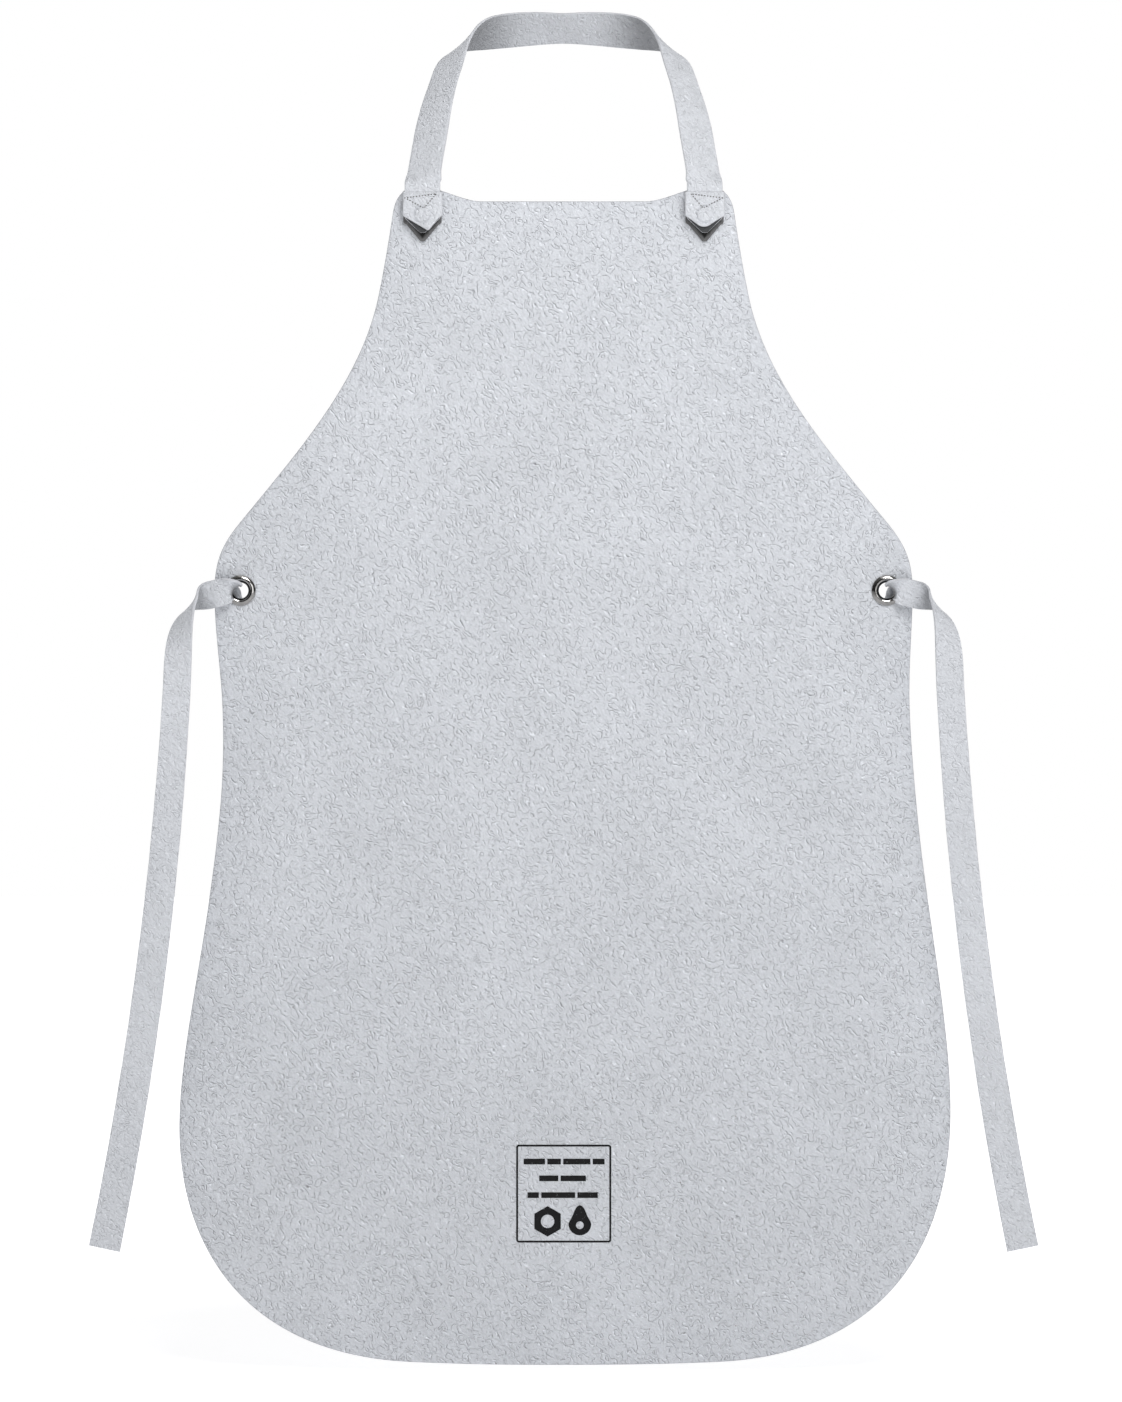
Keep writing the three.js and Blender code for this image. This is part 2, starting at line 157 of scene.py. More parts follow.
def make_floor():
    """A pale floor that glows to white away from the apron, and looks dark in the metal."""
    z = HEM - FLOOR_GAP
    mesh = bpy.data.meshes.new("floor")
    corners = [(-FLOOR_HALF, -FLOOR_HALF, z), (FLOOR_HALF, -FLOOR_HALF, z),
               (FLOOR_HALF, FLOOR_HALF, z), (-FLOOR_HALF, FLOOR_HALF, z)]
    mesh.from_pydata(corners, [], [(0, 1, 2, 3)])
    floor = bpy.data.objects.new("floor", mesh)
    paint, tree, shader, place = new_finish("floor_paint")
    shader.inputs["Base Color"].default_value = FLOOR_GREY
    shader.inputs["Roughness"].default_value = 0.95
    away = put(tree, "ShaderNodeVectorMath", {0: place, 1: (0, 0, z)}, operation="DISTANCE")
    glow = ranged(tree, away.outputs["Value"], 0.5, 1.6, 0.70, 1.0)
    mirrored = put(tree, "ShaderNodeLightPath").outputs["Is Glossy Ray"]
    flagged = put(tree, "ShaderNodeMix", {0: mirrored, 2: glow, 3: 0.05})
    tree.links.new(flagged.outputs[0], shader.inputs["Emission Color"])
    shader.inputs["Emission Strength"].default_value = 1.0
    mesh.materials.append(paint)
    bpy.context.collection.objects.link(floor)


light_the_room()
make_floor()


# ---- Waist ties ----
# One strip of strap leather a side, about 0.65 m long: knotted behind the eyelet, gathered through its
# bore, opened flat over the rim, rolled over once outside the panel's edge, and left hanging cut square.
STRAP_GREY = (0.592, 0.608, 0.642)
PALE_EDGE = (0.56, 0.57, 0.60)
SPECK_BROWN = (0.19, 0.15, 0.125)
EYELET_OUT = 0.25
EYELET_UP = (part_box("eyelet_right")[0].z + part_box("eyelet_right")[1].z) / 2
TIE_THICK = 0.002
TIE_WIDE = (0.0213, 0.0244)
# The hanging part: its length, and how it drifts outwards per metre and per metre squared.
TIE_DROP = 0.434
TIE_DRIFT = (0.0560, 0.1700)
DROP_STEPS = 80
# The fold: a tight roll first, which then opens over a longer stretch, from one way to the other.
FOLD_RADIUS = 0.0065
FOLD_TIGHT = math.radians(88)
FOLD_EASES = 0.070
FOLD_OPENING = 1.6
FOLD_STEPS = 80
RUN_WAY = math.radians(-15)
HANG_WAY = math.radians(-88)
# The knot: the line it is wound on (outwards and up from the eyelet), and its turns.
KNOT_LINE = (0.0085, -0.0030)
KNOT_TURN = 0.0060
KNOT_POINTS = 13
KNOT_FROM = math.radians(190)
KNOT_STEP = math.radians(37)
TAIL_WIDE = 0.014
GATHER_TURN = math.radians(30)
# Points by the eyelet: outwards, in front of the bib's face, and up from its centre.
BORE_BACK = (0.0044, -0.0060, -0.0003)
RIM_ROUTE = [(0.0044, -0.0020, -0.0003), (0.0044, 0.0025, -0.0003), (0.0072, 0.0062, 0.0006),
             (0.0140, 0.0068, -0.0014)]
FOLD_START = (0.0222, 0.0066, -0.0034)


def noisy(tree, place, scale, detail=0, rough=0.5):
    """Smooth noise from 0 to 1 about the place."""
    return put(tree, "ShaderNodeTexNoise", {"Vector": place, "Scale": scale, "Detail": detail,
                                            "Roughness": rough}).outputs["Fac"]


def tinted(tree, colour, tone):
    """A colour, or a vector, times a tone."""
    return put(tree, "ShaderNodeVectorMath", {0: colour, "Scale": tone}, operation="SCALE").outputs[0]


def bumped(tree, shader, height, deep, strength=1.0, under=None):
    """Relief on the shader from a height, laid over the relief under it; returns it for the next."""
    made = put(tree, "ShaderNodeBump", {"Height": height, "Distance": deep, "Strength": strength})
    if under:
        tree.links.new(under, made.inputs["Normal"])
    tree.links.new(made.outputs[0], shader.inputs["Normal"])
    return made.outputs[0]


def leather(name, colour, wrinkles=1.0, specks=0.0, cloud=1.0):
    """Cow split, napped on both faces: worm-shaped wrinkles pressed in by the drum, cloudy dyeing, a fine
    loose fibre, a few dirt specks where they are asked for, the wrinkles' sides painted light and dark as
    if lit from one way, and painted shade where the mesh carries it."""
    paint, tree, shader, place = new_finish(name)

    def clouds(scale, detail, low, high, rough=0.5):
        return ranged(tree, noisy(tree, place, scale, detail, rough), 0.25, 0.75, low, high)

    def maths(operation, a, b):
        return put(tree, "ShaderNodeMath", {0: a, 1: b}, operation=operation).outputs[0]

    # wrinkles: contour lines of a bent noise, drawn out one way and broken into short lengths
    grain_way = put(tree, "ShaderNodeMapping", {"Vector": place, "Rotation": (0, math.radians(45), 0),
                                                "Scale": (1.3, 1, 1)}, vector_type="TEXTURE").outputs[0]
    bend = put(tree, "ShaderNodeTexNoise", {"Vector": grain_way, "Scale": 240, "Detail": 1})
    centred = put(tree, "ShaderNodeVectorMath", {0: bend.outputs["Color"], 1: (0.5, 0.5, 0.5)},
                  operation="SUBTRACT")
    shift = tinted(tree, centred.outputs[0], 0.0042)
    bent = put(tree, "ShaderNodeVectorMath", {0: grain_way, 1: shift}, operation="ADD").outputs[0]
    short = ranged(tree, noisy(tree, grain_way, 210, 1), 0.37, 0.52, 0.0, 1.0, "SMOOTHSTEP")

    def relief(offset):
        """Height of the hide, from the place moved by an offset: wrinkles, with pebbling between."""
        moved = put(tree, "ShaderNodeVectorMath", {0: bent, 1: offset}, operation="ADD").outputs[0]
        lines = maths("PINGPONG", maths("MULTIPLY", noisy(tree, moved, 205), 8.0), 1.0)
        groove = ranged(tree, lines, 0.0, 0.42, 1.0, 0.0, "SMOOTHSTEP")
        pebble = maths("MULTIPLY", noisy(tree, moved, 520, 1), 1.6)
        return maths("SUBTRACT", pebble, maths("MULTIPLY", maths("MULTIPLY", groove, short), wrinkles))

    height = relief((0, 0, 0))
    # painted light and shade: one side of each wrinkle is made paler and the other darker, as if lit from
    # one way
    painted_relief_light = maths("SUBTRACT", height, relief((0, 0, 0.00042)))

    # colour: cloudy dyeing over 80 mm and 10 mm, fibre, painted light and shade on the wrinkles, painted
    # shade, specks
    tone = maths("MULTIPLY", clouds(11, 3, 1 - 0.045 * cloud, 1 + 0.045 * cloud),
                 clouds(70, 4, 0.972, 1.028))
    tone = maths("MULTIPLY", tone, clouds(1100, 3, 0.94, 1.06))
    tone = maths("MULTIPLY", tone, maths("ADD", 1.0, maths("MULTIPLY", painted_relief_light, 0.42)))
    # painted shade: each point's painted shade amount darkens the leather's colour there
    painted_shade = put(tree, "ShaderNodeAttribute", attribute_name="painted_shade").outputs["Fac"]
    tone = maths("MULTIPLY", tone, maths("SUBTRACT", 1.0, painted_shade))
    skin = tinted(tree, colour, tone)
    if specks:
        dots = put(tree, "ShaderNodeTexVoronoi", {"Vector": place, "Scale": 210})
        tiny = ranged(tree, dots.outputs["Distance"], 0.07, 0.13, 1.0, 0.0)
        chosen = put(tree, "ShaderNodeSeparateColor", {"Color": dots.outputs["Color"]})
        few = maths("GREATER_THAN", chosen.outputs["Red"], 1 - 0.1 * specks)
        up = put(tree, "ShaderNodeSeparateXYZ", {"Vector": place}).outputs["Z"]
        more_below = ranged(tree, up, HEM, HEM + 0.7, 0.9, 0.25)
        amount = maths("MULTIPLY", maths("MULTIPLY", tiny, few), more_below)
        skin = put(tree, "ShaderNodeMix", {0: amount, 6: skin, 7: (*SPECK_BROWN, 1)},
                   data_type="RGBA").outputs[2]
    tree.links.new(skin, shader.inputs["Base Color"])
    tree.links.new(clouds(300, 2, 0.84, 0.97), shader.inputs["Roughness"])
    shader.inputs["Specular IOR Level"].default_value = 0.22
    shader.inputs["Sheen Weight"].default_value = 0.12
    shader.inputs["Sheen Roughness"].default_value = 0.5
    worms = bumped(tree, shader, height, 0.0005)
    bumped(tree, shader, clouds(1300, 2, 0.0, 1.0, 0.6), 0.0002, 0.7, worms)
    return paint


def cut_edge(name, colour):
    """The raw edge of a cut hide: packed fibre in thin layers, a little darker than the nap."""
    paint, tree, shader, place = new_finish(name)
    fibre = noisy(tree, place, 1800, 3)
    patches = noisy(tree, place, 60, 2)
    both = put(tree, "ShaderNodeMath", {0: fibre, 1: patches}, operation="ADD").outputs[0]
    tree.links.new(tinted(tree, colour, ranged(tree, both, 0.6, 1.4, 0.78, 1.12)),
                   shader.inputs["Base Color"])
    tree.links.new(ranged(tree, patches, 0.0, 1.0, 0.85, 1.0), shader.inputs["Roughness"])
    shader.inputs["Specular IOR Level"].default_value = 0.15
    bumped(tree, shader, fibre, 0.0002)
    return paint


strap_leather = leather("strap_leather", STRAP_GREY, wrinkles=0.6, specks=0.3, cloud=0.8)
pale_edge = cut_edge("cut_edge_pale", PALE_EDGE)


def keep(name, points, faces, paints, paint_of=None, crease=50):
    """A mesh object from points and faces, shaded smooth except over sharp corners."""
    mesh = bpy.data.meshes.new(name)
    mesh.from_pydata([tuple(p) for p in points], [], faces)
    for paint in paints:
        mesh.materials.append(paint)
    if paint_of is not None:
        mesh.polygons.foreach_set("material_index", np.array(paint_of, np.int32))
    mesh.shade_smooth()
    mesh.set_sharp_from_angle(angle=math.radians(crease))
    mesh.update()
    made = bpy.data.objects.new(name, mesh)
    bpy.context.collection.objects.link(made)
    return made


def face_outwards(made, merge=0.0):
    """Makes a closed mesh's faces point out, after joining points nearer than merge."""
    work = bmesh.new()
    work.from_mesh(made.data)
    if merge:
        bmesh.ops.remove_doubles(work, verts=work.verts, dist=merge)
    bmesh.ops.recalc_face_normals(work, faces=work.faces)
    work.to_mesh(made.data)
    work.free()
    return made


def paint_shade(made, amounts):
    """How much shade is painted onto each point, from 0 to 1: in folds, in bores and under the tabs."""
    marks = made.data.attributes.new("painted_shade", "FLOAT", "POINT")
    marks.data.foreach_set("value", np.array(amounts, np.float32))


def eased(value, low, high):
    """0 below low, 1 above high, with an easy start and finish between them."""
    t = min(1.0, max(0.0, (value - low) / (high - low)))
    return t * t * (3 - 2 * t)


def by_eyelet(out, front, up):
    """A point by the right-hand eyelet: outwards, in front of the bib's face, and up."""
    return Vector((EYELET_OUT + out, BIB_FRONT - front, EYELET_UP + up))


ACROSS = [-0.97, -0.85, -0.7, -0.5, -0.25, 0.0, 0.25, 0.5, 0.7, 0.85, 0.97]
LOOP = ([(q, 1.0) for q in ACROSS] + [(1.0, 0.55), (1.0, -0.55)]
        + [(q, -1.0) for q in reversed(ACROSS)] + [(-1.0, -0.55), (-1.0, 0.55)])


def strip_ring(centre, across, facing, width, thick, curl=0.0, squeeze=(1.0, 1.0)):
    """The strip's cut section at one place; curl is half the angle that it is rolled up through."""
    curl = max(curl, 1e-3)
    ring = []
    for q, s in LOOP:
        turn = q * curl
        side = width / 2 * math.sin(turn) / curl - math.sin(turn) * s * thick / 2
        out = -width / 2 * (math.cos(turn) - math.sin(curl) / curl) / curl
        out += math.cos(turn) * s * thick / 2
        ring.append(centre + across * (side * squeeze[0]) + facing * (out * squeeze[1]))
    return ring


def strip(name, rings, face_paint, edge_paint, shades):
    """A closed strip of leather through its rings; shades are painted shade on its inner and outer face."""
    count = len(LOOP)
    points = [p for ring in rings for p in ring]
    faces, paints = [], []
    edge = {len(ACROSS) - 1, len(ACROSS), len(ACROSS) + 1, count - 3, count - 2, count - 1}
    for i in range(len(rings) - 1):
        for k in range(count):
            a, b = i * count + k, i * count + (k + 1) % count
            faces.append((a, b, b + count, a + count))
            paints.append(1 if k in edge else 0)
    last = (len(rings) - 1) * count
    half = len(ACROSS)
    for start in (0, last):
        for k in range(half - 1):
            a, b = start + k, start + k + 1
            c, d = start + 2 * half + 1 - k - 1, start + 2 * half + 1 - k
            faces.append((a, b, c, d))
            paints.append(1)
        faces.append((start + half - 1, start + half, start + half + 1, start + half + 2))
        faces.append((start + count - 1, start, start + 2 * half + 1, start + 2 * half + 2))
        paints += [1, 1]
    made = face_outwards(keep(name, points, faces, [face_paint, edge_paint], paints))
    paint_shade(made, [inner if k < half else outer for inner, outer in shades for k in range(count)])
    return made


def through(points, step):
    """Points about step apart on a smooth curve through the given ones."""
    ends = [points[0] * 2 - points[1], *points, points[-1] * 2 - points[-2]]
    line = []
    for p0, p1, p2, p3 in zip(ends, ends[1:], ends[2:], ends[3:]):
        count = max(2, round((p2 - p1).length / step))
        for i in range(count):
            t = i / count
            line.append(0.5 * (2 * p1 + (p2 - p0) * t + (2 * p0 - 5 * p1 + 4 * p2 - p3) * t ** 2
                               + (3 * p1 - p0 - 3 * p2 + p3) * t ** 3))
    return line + [points[-1]]


def fold_rings():
    """Centre, way, across and facing of the tie down its fold: a tight roll that eases into the drop."""
    middle, slant = (RUN_WAY + HANG_WAY) / 2, (RUN_WAY - HANG_WAY) / 2
    axis = Vector((math.cos(middle), 0, math.sin(middle)))
    out = Vector((-math.sin(middle), 0, math.cos(middle)))
    tight = FOLD_RADIUS * FOLD_TIGHT / math.sin(slant)
    step = (tight + FOLD_EASES) / FOLD_STEPS
    centre = by_eyelet(*FOLD_START)
    places = []
    for i in range(FOLD_STEPS + 1):
        for part in (0.0, 0.5):
            run = (i + part) * step
            late = min(1.0, max(0.0, (run - tight) / FOLD_EASES))
            opened = 1 - (1 - late) ** FOLD_OPENING
            turn = FOLD_TIGHT * min(1.0, run / tight) + (math.pi - FOLD_TIGHT) * opened
            side = out * math.cos(turn) - Vector((0, 1, 0)) * math.sin(turn)
            way = axis * math.cos(slant) + side * math.sin(slant)
            if part == 0.0:
                across = side * math.cos(slant) - axis * math.sin(slant)
                places.append((centre, way, across, way.cross(across)))
        centre = centre + way * step
    return places


def knot_line():
    """From the tail's cut end, once and a quarter round the standing part, then forwards to the bore."""
    out, up = KNOT_LINE
    tail = [by_eyelet(out - 0.003, -0.0185, -0.0200), by_eyelet(out - 0.0055, -0.0165, -0.0130)]
    turns = []
    for i in range(KNOT_POINTS):
        angle = KNOT_FROM - i * KNOT_STEP
        front = -0.0125 - 0.0090 * i / (KNOT_POINTS - 1)
        turns.append(by_eyelet(out + KNOT_TURN * math.cos(angle), front, up + KNOT_TURN * math.sin(angle)))
    last = [by_eyelet(out + 0.002, -0.0245, up - 0.001), by_eyelet(out - 0.0005, -0.0195, up),
            by_eyelet(0.0062, -0.0115, -0.0015), by_eyelet(*BORE_BACK)]
    return tail + turns + last


def tie_rings():
    """Rings, centres and painted shades of the right-hand tie, from the tail's end to the free end."""
    rings, line, shades = [], [], []
    knot = through(knot_line(), 0.0022)
    axis = by_eyelet(KNOT_LINE[0], 0, KNOT_LINE[1])
    inboard = Vector((-1, 0, 0))
    count = len(knot)
    for i, centre in enumerate(knot):
        way = (knot[min(i + 1, count - 1)] - knot[max(i - 1, 0)]).normalized()
        u = i / count
        inwards = Vector((axis.x - centre.x, 0, axis.z - centre.z))
        inwards = inwards.normalized() if inwards.length > 1e-6 else inboard
        wrapped = eased(u, 0.08, 0.2) * (1 - eased(u, 0.74, 0.86))
        aim = inwards * wrapped + Vector((0, -1, 0)) * (1 - eased(u, 0.08, 0.2))
        aim += inboard * eased(u, 0.74, 0.86)
        across = aim.cross(way).normalized()
        facing = way.cross(across).normalized()
        curl = 0.7 + 1.75 * eased(u, 0.03, 0.2) - 0.73 * eased(u, 0.80, 0.97)
        width = TAIL_WIDE + (TIE_WIDE[0] - TAIL_WIDE) * eased(u, 0.0, 0.2)
        squeeze = (1 - 0.24 * wrapped, 1 - 0.42 * wrapped)
        gather = eased(u, 0.80, 0.97)
        squeeze = (squeeze[0] * (1 - 0.06 * gather), squeeze[1] * (1 - 0.40 * gather))
        rings.append(strip_ring(centre, across, facing, width, TIE_THICK, curl, squeeze))
        line.append(centre)
        # painted shade: the knot's inner face, behind the panel, is made a quarter darker
        shades.append((0.25, 0.0))

    route = through([by_eyelet(*p) for p in (BORE_BACK, *RIM_ROUTE, FOLD_START)], 0.0012)[1:-1]
    count = len(route)
    for i, centre in enumerate(route):
        ahead = route[i + 1] if i + 1 < count else by_eyelet(*FOLD_START)
        behind = route[i - 1] if i else by_eyelet(*BORE_BACK)
        way = (ahead - behind).normalized()
        u = (i + 1) / (count + 1)
        across = (Vector((0, 0, 1)) - way * way.z).normalized()
        across = Matrix.Rotation(GATHER_TURN * (1 - eased(u, 0.3, 0.8)), 3, way) @ across
        curl = 1.7 * (1 - eased(u, 0.22, 0.75)) + 0.02
        squeeze = (1 - 0.06 * (1 - eased(u, 0.1, 0.4)), 1 - 0.40 * (1 - eased(u, 0.15, 0.5)))
        rings.append(strip_ring(centre, across, way.cross(across), TIE_WIDE[0], TIE_THICK, curl, squeeze))
        line.append(centre)
        # painted shade: dark where the tie lies in the bore, a little darker again as it nears the fold
        shades.append((0.65 * (1 - eased(u, 0.25, 0.50)) + 0.12 * eased(u, 0.8, 1.0), 0.0))

    for i, (centre, way, across, facing) in enumerate(fold_rings()):
        rings.append(strip_ring(centre, across, facing, TIE_WIDE[0], TIE_THICK))
        line.append(centre)
        # painted shade: darker inside the fold up to its lip, then back to the leather's own colour
        shades.append((0.12 + 0.36 * eased(i, 0, 10) - 0.48 * eased(i, 24, 36), 0.0))

    top = line[-1]
    for i in range(1, DROP_STEPS + 1):
        drop = TIE_DROP * i / DROP_STEPS
        sway = 0.0070 * eased(drop, 0.0, 0.15) - 0.0022 * math.sin(drop * 13.0) * eased(drop, 0.02, 0.12)
        centre = top + Vector((TIE_DRIFT[0] * drop + TIE_DRIFT[1] * drop * drop, sway, -drop))
        way = Vector((TIE_DRIFT[0] + 2 * TIE_DRIFT[1] * drop, 0, -1)).normalized()
        twist = 0.10 * math.sin(drop * 9.0) * eased(drop, 0.02, 0.15)
        across = Matrix.Rotation(twist, 3, way) @ Vector((way.z, 0, -way.x))
        width = TIE_WIDE[0] + (TIE_WIDE[1] - TIE_WIDE[0]) * i / DROP_STEPS
        width += 0.0005 * noise.noise(Vector((drop * 40, 3.1, 0)))
        curl = abs(0.16 * math.sin(drop * 7 + 0.5)) * eased(drop, 0.02, 0.15)
        rings.append(strip_ring(centre, across, way.cross(across), width, TIE_THICK, curl))
        line.append(centre)
        shades.append((0.0, 0.0))
    return rings, line, shades


right_rings, right_line, tie_shades = tie_rings()
for side, sign in (("left", -1), ("right", 1)):
    rings = [[Vector((p.x * sign, p.y, p.z)) for p in ring] for ring in right_rings]
    line = [Vector((p.x * sign, p.y, p.z)) for p in right_line]
    tie = strip(f"waist_tie_{side}", rings, strap_leather, pale_edge, tie_shades)
    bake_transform(tie)
    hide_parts(f"tie_root_{side}", f"tie_knot_{side}", f"tie_{side}")


# ---- Panel: bib and skirt ----
# One piece of split about 1.5 mm thick, cut to a symmetrical outline and left raw-edged. Its edges curl
# back a little below the waist, and it is creased where the waist ties pull at the eyelets.
# Half the outline, from the middle of the hem round to the middle of the bib's top: handle, handle, end.
OUTLINE = [
    [(0.040, 0), (0.080, 0.0005), (0.120, 0.0025)],
    [(0.236, 0.008), (0.2985, 0.080), (0.2985, 0.190)],
    [(0.2985, 0.274), (0.266, 0.384), (0.266, 0.510)],
    [(0.266, 0.540), (0.270, 0.570), (0.270, 0.600)],
    [(0.270, 0.634), (0.256, 0.645), (0.236, 0.670)],
    [(0.1985, 0.716), (0.1575, 0.765), (0.144, 0.824)],
    [(0.139, 0.847), (0.1345, 0.875), (0.132, 0.892)],
    [(0.1305, 0.902), (0.126, 0.912), (0.112, 0.912)],
    [(0.098, 0.9135), (0.080, 0.9015), (0.064, 0.901)],
    [(0.040, 0.901), (0.020, 0.901), (0.0, 0.901)],
]
# The middle of the skirt hangs a little to one side.
SKIRT_SWAY = 0.0038
EDGE_CURL_WIDE = 0.062
EDGE_CURL_BELOW = 0.0075
EDGE_CURL_ABOVE = 0.0015
SPLIT_GREY = (0.592, 0.610, 0.646)
GREY_EDGE = (0.42, 0.43, 0.46)
STUD_OUT = 0.109
STITCH_LINE = HEM + 0.905
STUD_UP = STITCH_LINE - 0.0148
POST_HOLE = 0.0015
EYELET_HOLE = 0.0084
# Soft creases, as start and end (across, above the hem), depth and width.
CREASES = (
    ((-0.2335, 0.573), (-0.169, 0.523), 0.0012, 0.010),
    ((0.232, 0.575), (0.185, 0.530), 0.0006, 0.010),
    ((-0.046, 0.872), (0.042, 0.870), 0.0005, 0.007),
    ((-0.215, 0.655), (-0.165, 0.612), 0.0005, 0.014),
)
panel_leather = leather("split_leather", SPLIT_GREY, specks=1.0)
grey_edge = cut_edge("cut_edge_grey", GREY_EDGE)


def curve_points(curves, start, step):
    """Points about step apart along joined cubic curves."""
    points, here = [], start
    for a, b, end in curves:
        rough = math.dist(here, a) + math.dist(a, b) + math.dist(b, end)
        count = max(2, round(rough / step))
        for i in range(count):
            t = i / count
            s = 1 - t
            weights = (s ** 3, 3 * s * s * t, 3 * s * t * t, t ** 3)
            points.append(tuple(sum(w * p[k] for w, p in zip(weights, (here, a, b, end)))
                                for k in (0, 1)))
        here = end
    return points


def round_hole(x, z, radius, count):
    """Points of a hole's rim, clockwise as seen from the front."""
    return [(x + radius * math.cos(a), z + radius * math.sin(a))
            for a in (-2 * math.pi * i / count for i in range(count))]


def inside(loops, points):
    """Which points lie in the shape: inside an odd number of its loops."""
    points = np.asarray(points, float)
    crossed = np.zeros(len(points), bool)
    for loop in loops:
        ends = np.asarray(loop, float)
        for a, b in zip(ends, np.roll(ends, -1, axis=0)):
            if a[1] == b[1]:
                continue
            spans = (a[1] > points[:, 1]) != (b[1] > points[:, 1])
            x = a[0] + (points[:, 1] - a[1]) * (b[0] - a[0]) / (b[1] - a[1])
            crossed ^= spans & (points[:, 0] < x)
    return crossed


def drawn_in(loop, by):
    """The loop moved towards the leather, to leave room for a rounded edge."""
    ends = np.asarray(loop, float)
    along = np.roll(ends, -1, axis=0) - np.roll(ends, 1, axis=0)
    along /= np.linalg.norm(along, axis=1)[:, None]
    return ends + np.stack([-along[:, 1], along[:, 0]], axis=1) * by


def rim_finder(rim):
    """Finds the nearest of a rim's points to a place on the leather."""
    tree = kdtree.KDTree(len(rim))
    for i, (x, z) in enumerate(rim):
        tree.insert((x, 0, z), i)
    tree.balance()
    return tree


def cut_sheet(name, loops, step, thick, front, paints, rounding=0.0004):
    """Leather cut to loops of (x, z), with its front face at y = front(x, z, distance from its edge)."""
    inner = [drawn_in(loop, rounding) for loop in loops]
    rim = np.concatenate(inner)
    low, high = rim.min(0), rim.max(0)
    rows = np.arange(low[1], high[1], step * math.sqrt(3) / 2)
    grid = np.array([(x + (step / 2 if r % 2 else 0), z) for r, z in enumerate(rows)
                     for x in np.arange(low[0], high[0], step)])
    edge = rim_finder(rim)
    far = np.array([edge.find((x, 0, z))[2] for x, z in grid]) > 0.55 * step
    grid = grid[far & inside(inner, grid)]
    flat = [Vector(p) for p in rim] + [Vector(p) for p in grid]
    sides, start = [], 0
    for loop in inner:
        count = len(loop)
        sides += [(start + i, start + (i + 1) % count) for i in range(count)]
        start += count
    flat, _, triangles, *_ = geometry.delaunay_2d_cdt(flat, sides, [], 0, 1e-9)
    middles = [[sum(flat[i][k] for i in t) / 3 for k in (0, 1)] for t in triangles]
    triangles = [t for t, wanted in zip(triangles, inside(inner, middles)) if wanted]
    deep = [edge.find((p[0], 0, p[1]))[2] for p in flat]
    faced = [front(p[0], p[1], d) for p, d in zip(flat, deep)]
    count = len(flat)
    points = [(p[0], y, p[1]) for p, y in zip(flat, faced)]
    points += [(p[0], y + thick, p[1]) for p, y in zip(flat, faced)]
    faces = [tuple(t) for t in triangles] + [tuple(i + count for i in reversed(t)) for t in triangles]
    paint_of = [0] * len(faces)
    start = 0
    for loop, own in zip(loops, inner):
        size = len(own)
        base = len(points)
        for depth in (rounding, thick - rounding):
            points += [(x, faced[start + i] + depth, z) for i, (x, z) in enumerate(loop)]
        for i in range(size):
            j = (i + 1) % size
            rings = [(start + i, start + j), (base + i, base + j), (base + size + i, base + size + j),
                     (count + start + i, count + start + j)]
            for (a, b), (c, d) in zip(rings, rings[1:]):
                faces.append((a, c, d, b))
                paint_of.append(1)
        start += size
    return keep(name, points, faces, paints, paint_of)


def panel_face(x, z, edge):
    """Where the panel's front face lies: flat at its fixings, curled and softly waved elsewhere."""
    up = z - HEM
    calm = 1.0
    for fx, fz, reach in ((EYELET_OUT, EYELET_UP, 0.045), (STUD_OUT, STUD_UP, 0.05)):
        for s in (-1, 1):
            away = math.hypot(x - s * fx, z - fz)
            calm *= 1 - math.exp(-(away / reach) ** 2)
    curl = (1 - min(edge / EDGE_CURL_WIDE, 1)) ** 2
    below = 1 - eased(up, 0.44, 0.57)
    back = curl * calm * (EDGE_CURL_BELOW * below + EDGE_CURL_ABOVE * (1 - below))
    wave = noise.noise(Vector((x * 3.4, 1.7, up * 1.6))) * 0.0045
    wave += noise.noise(Vector((x * 9.0, 5.2, up * 6.0))) * 0.0012
    wave *= calm * (0.35 + 0.65 * (1 - eased(up, 0.5, 0.9)))
    crease = 0.0
    for (ax, au), (bx, bu), deep, wide in CREASES:
        dx, du = bx - ax, bu - au
        t = ((x - ax) * dx + (up - au) * du) / (dx * dx + du * du)
        off = abs((x - ax) * du - (up - au) * dx) / math.hypot(dx, du)
        crease += deep * math.exp(-(off / wide) ** 2) * eased(t, -0.25, 0.25) * (1 - eased(t, 0.6, 1.15))
    return BIB_FRONT + back + wave + crease


half_outline = curve_points(OUTLINE, (0.0, 0.0), 0.003)
outline = half_outline + [OUTLINE[-1][-1]] + [(-x, up) for x, up in reversed(half_outline[1:])]
outline = [(x + SKIRT_SWAY * eased(up, 0.10, 0.36) * (1 - eased(up, 0.43, 0.59)), HEM + up)
           for x, up in outline]
panel_loops = [outline]
for sign in (-1, 1):
    panel_loops.append(round_hole(sign * EYELET_OUT, EYELET_UP, EYELET_HOLE, 36))
    panel_loops.append(round_hole(sign * STUD_OUT, STUD_UP, POST_HOLE, 14))
panel = cut_sheet("leather_panel", panel_loops, 0.005, BIB_BACK - BIB_FRONT, panel_face,
                  [panel_leather, grey_edge])
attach(panel, "apron")
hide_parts("apron_panel")


# ---- Ink stamp ----
# A square block printed near the hem in black ink that soaks into the nap: a rounded frame round three
# rows of plain dashes and two plain shapes, a nut and a drop. It carries no words.
STAMP_MIDDLE = (0.0001, HEM + 0.1334)
STAMP_HALF = (0.0368, 0.0379)
INK_LINE = 0.0015
INK_LIFT = 0.00012
INK_BLACK = (0.011, 0.011, 0.012)
INK_WORN = (0.30, 0.31, 0.33)
FRAME_ROUND = 0.0022
DASH_TALL = 0.0044
DASH_GAP = 0.0018
# Each row of dashes: its height, its left end and the dashes' lengths.
DASHES = (
    (0.0248, -0.0310, (0.0165, 0.0105, 0.0210, 0.0092)),
    (0.0118, -0.0190, (0.0148, 0.0196)),
    (-0.0012, -0.0280, (0.0088, 0.0262, 0.0158)),
)


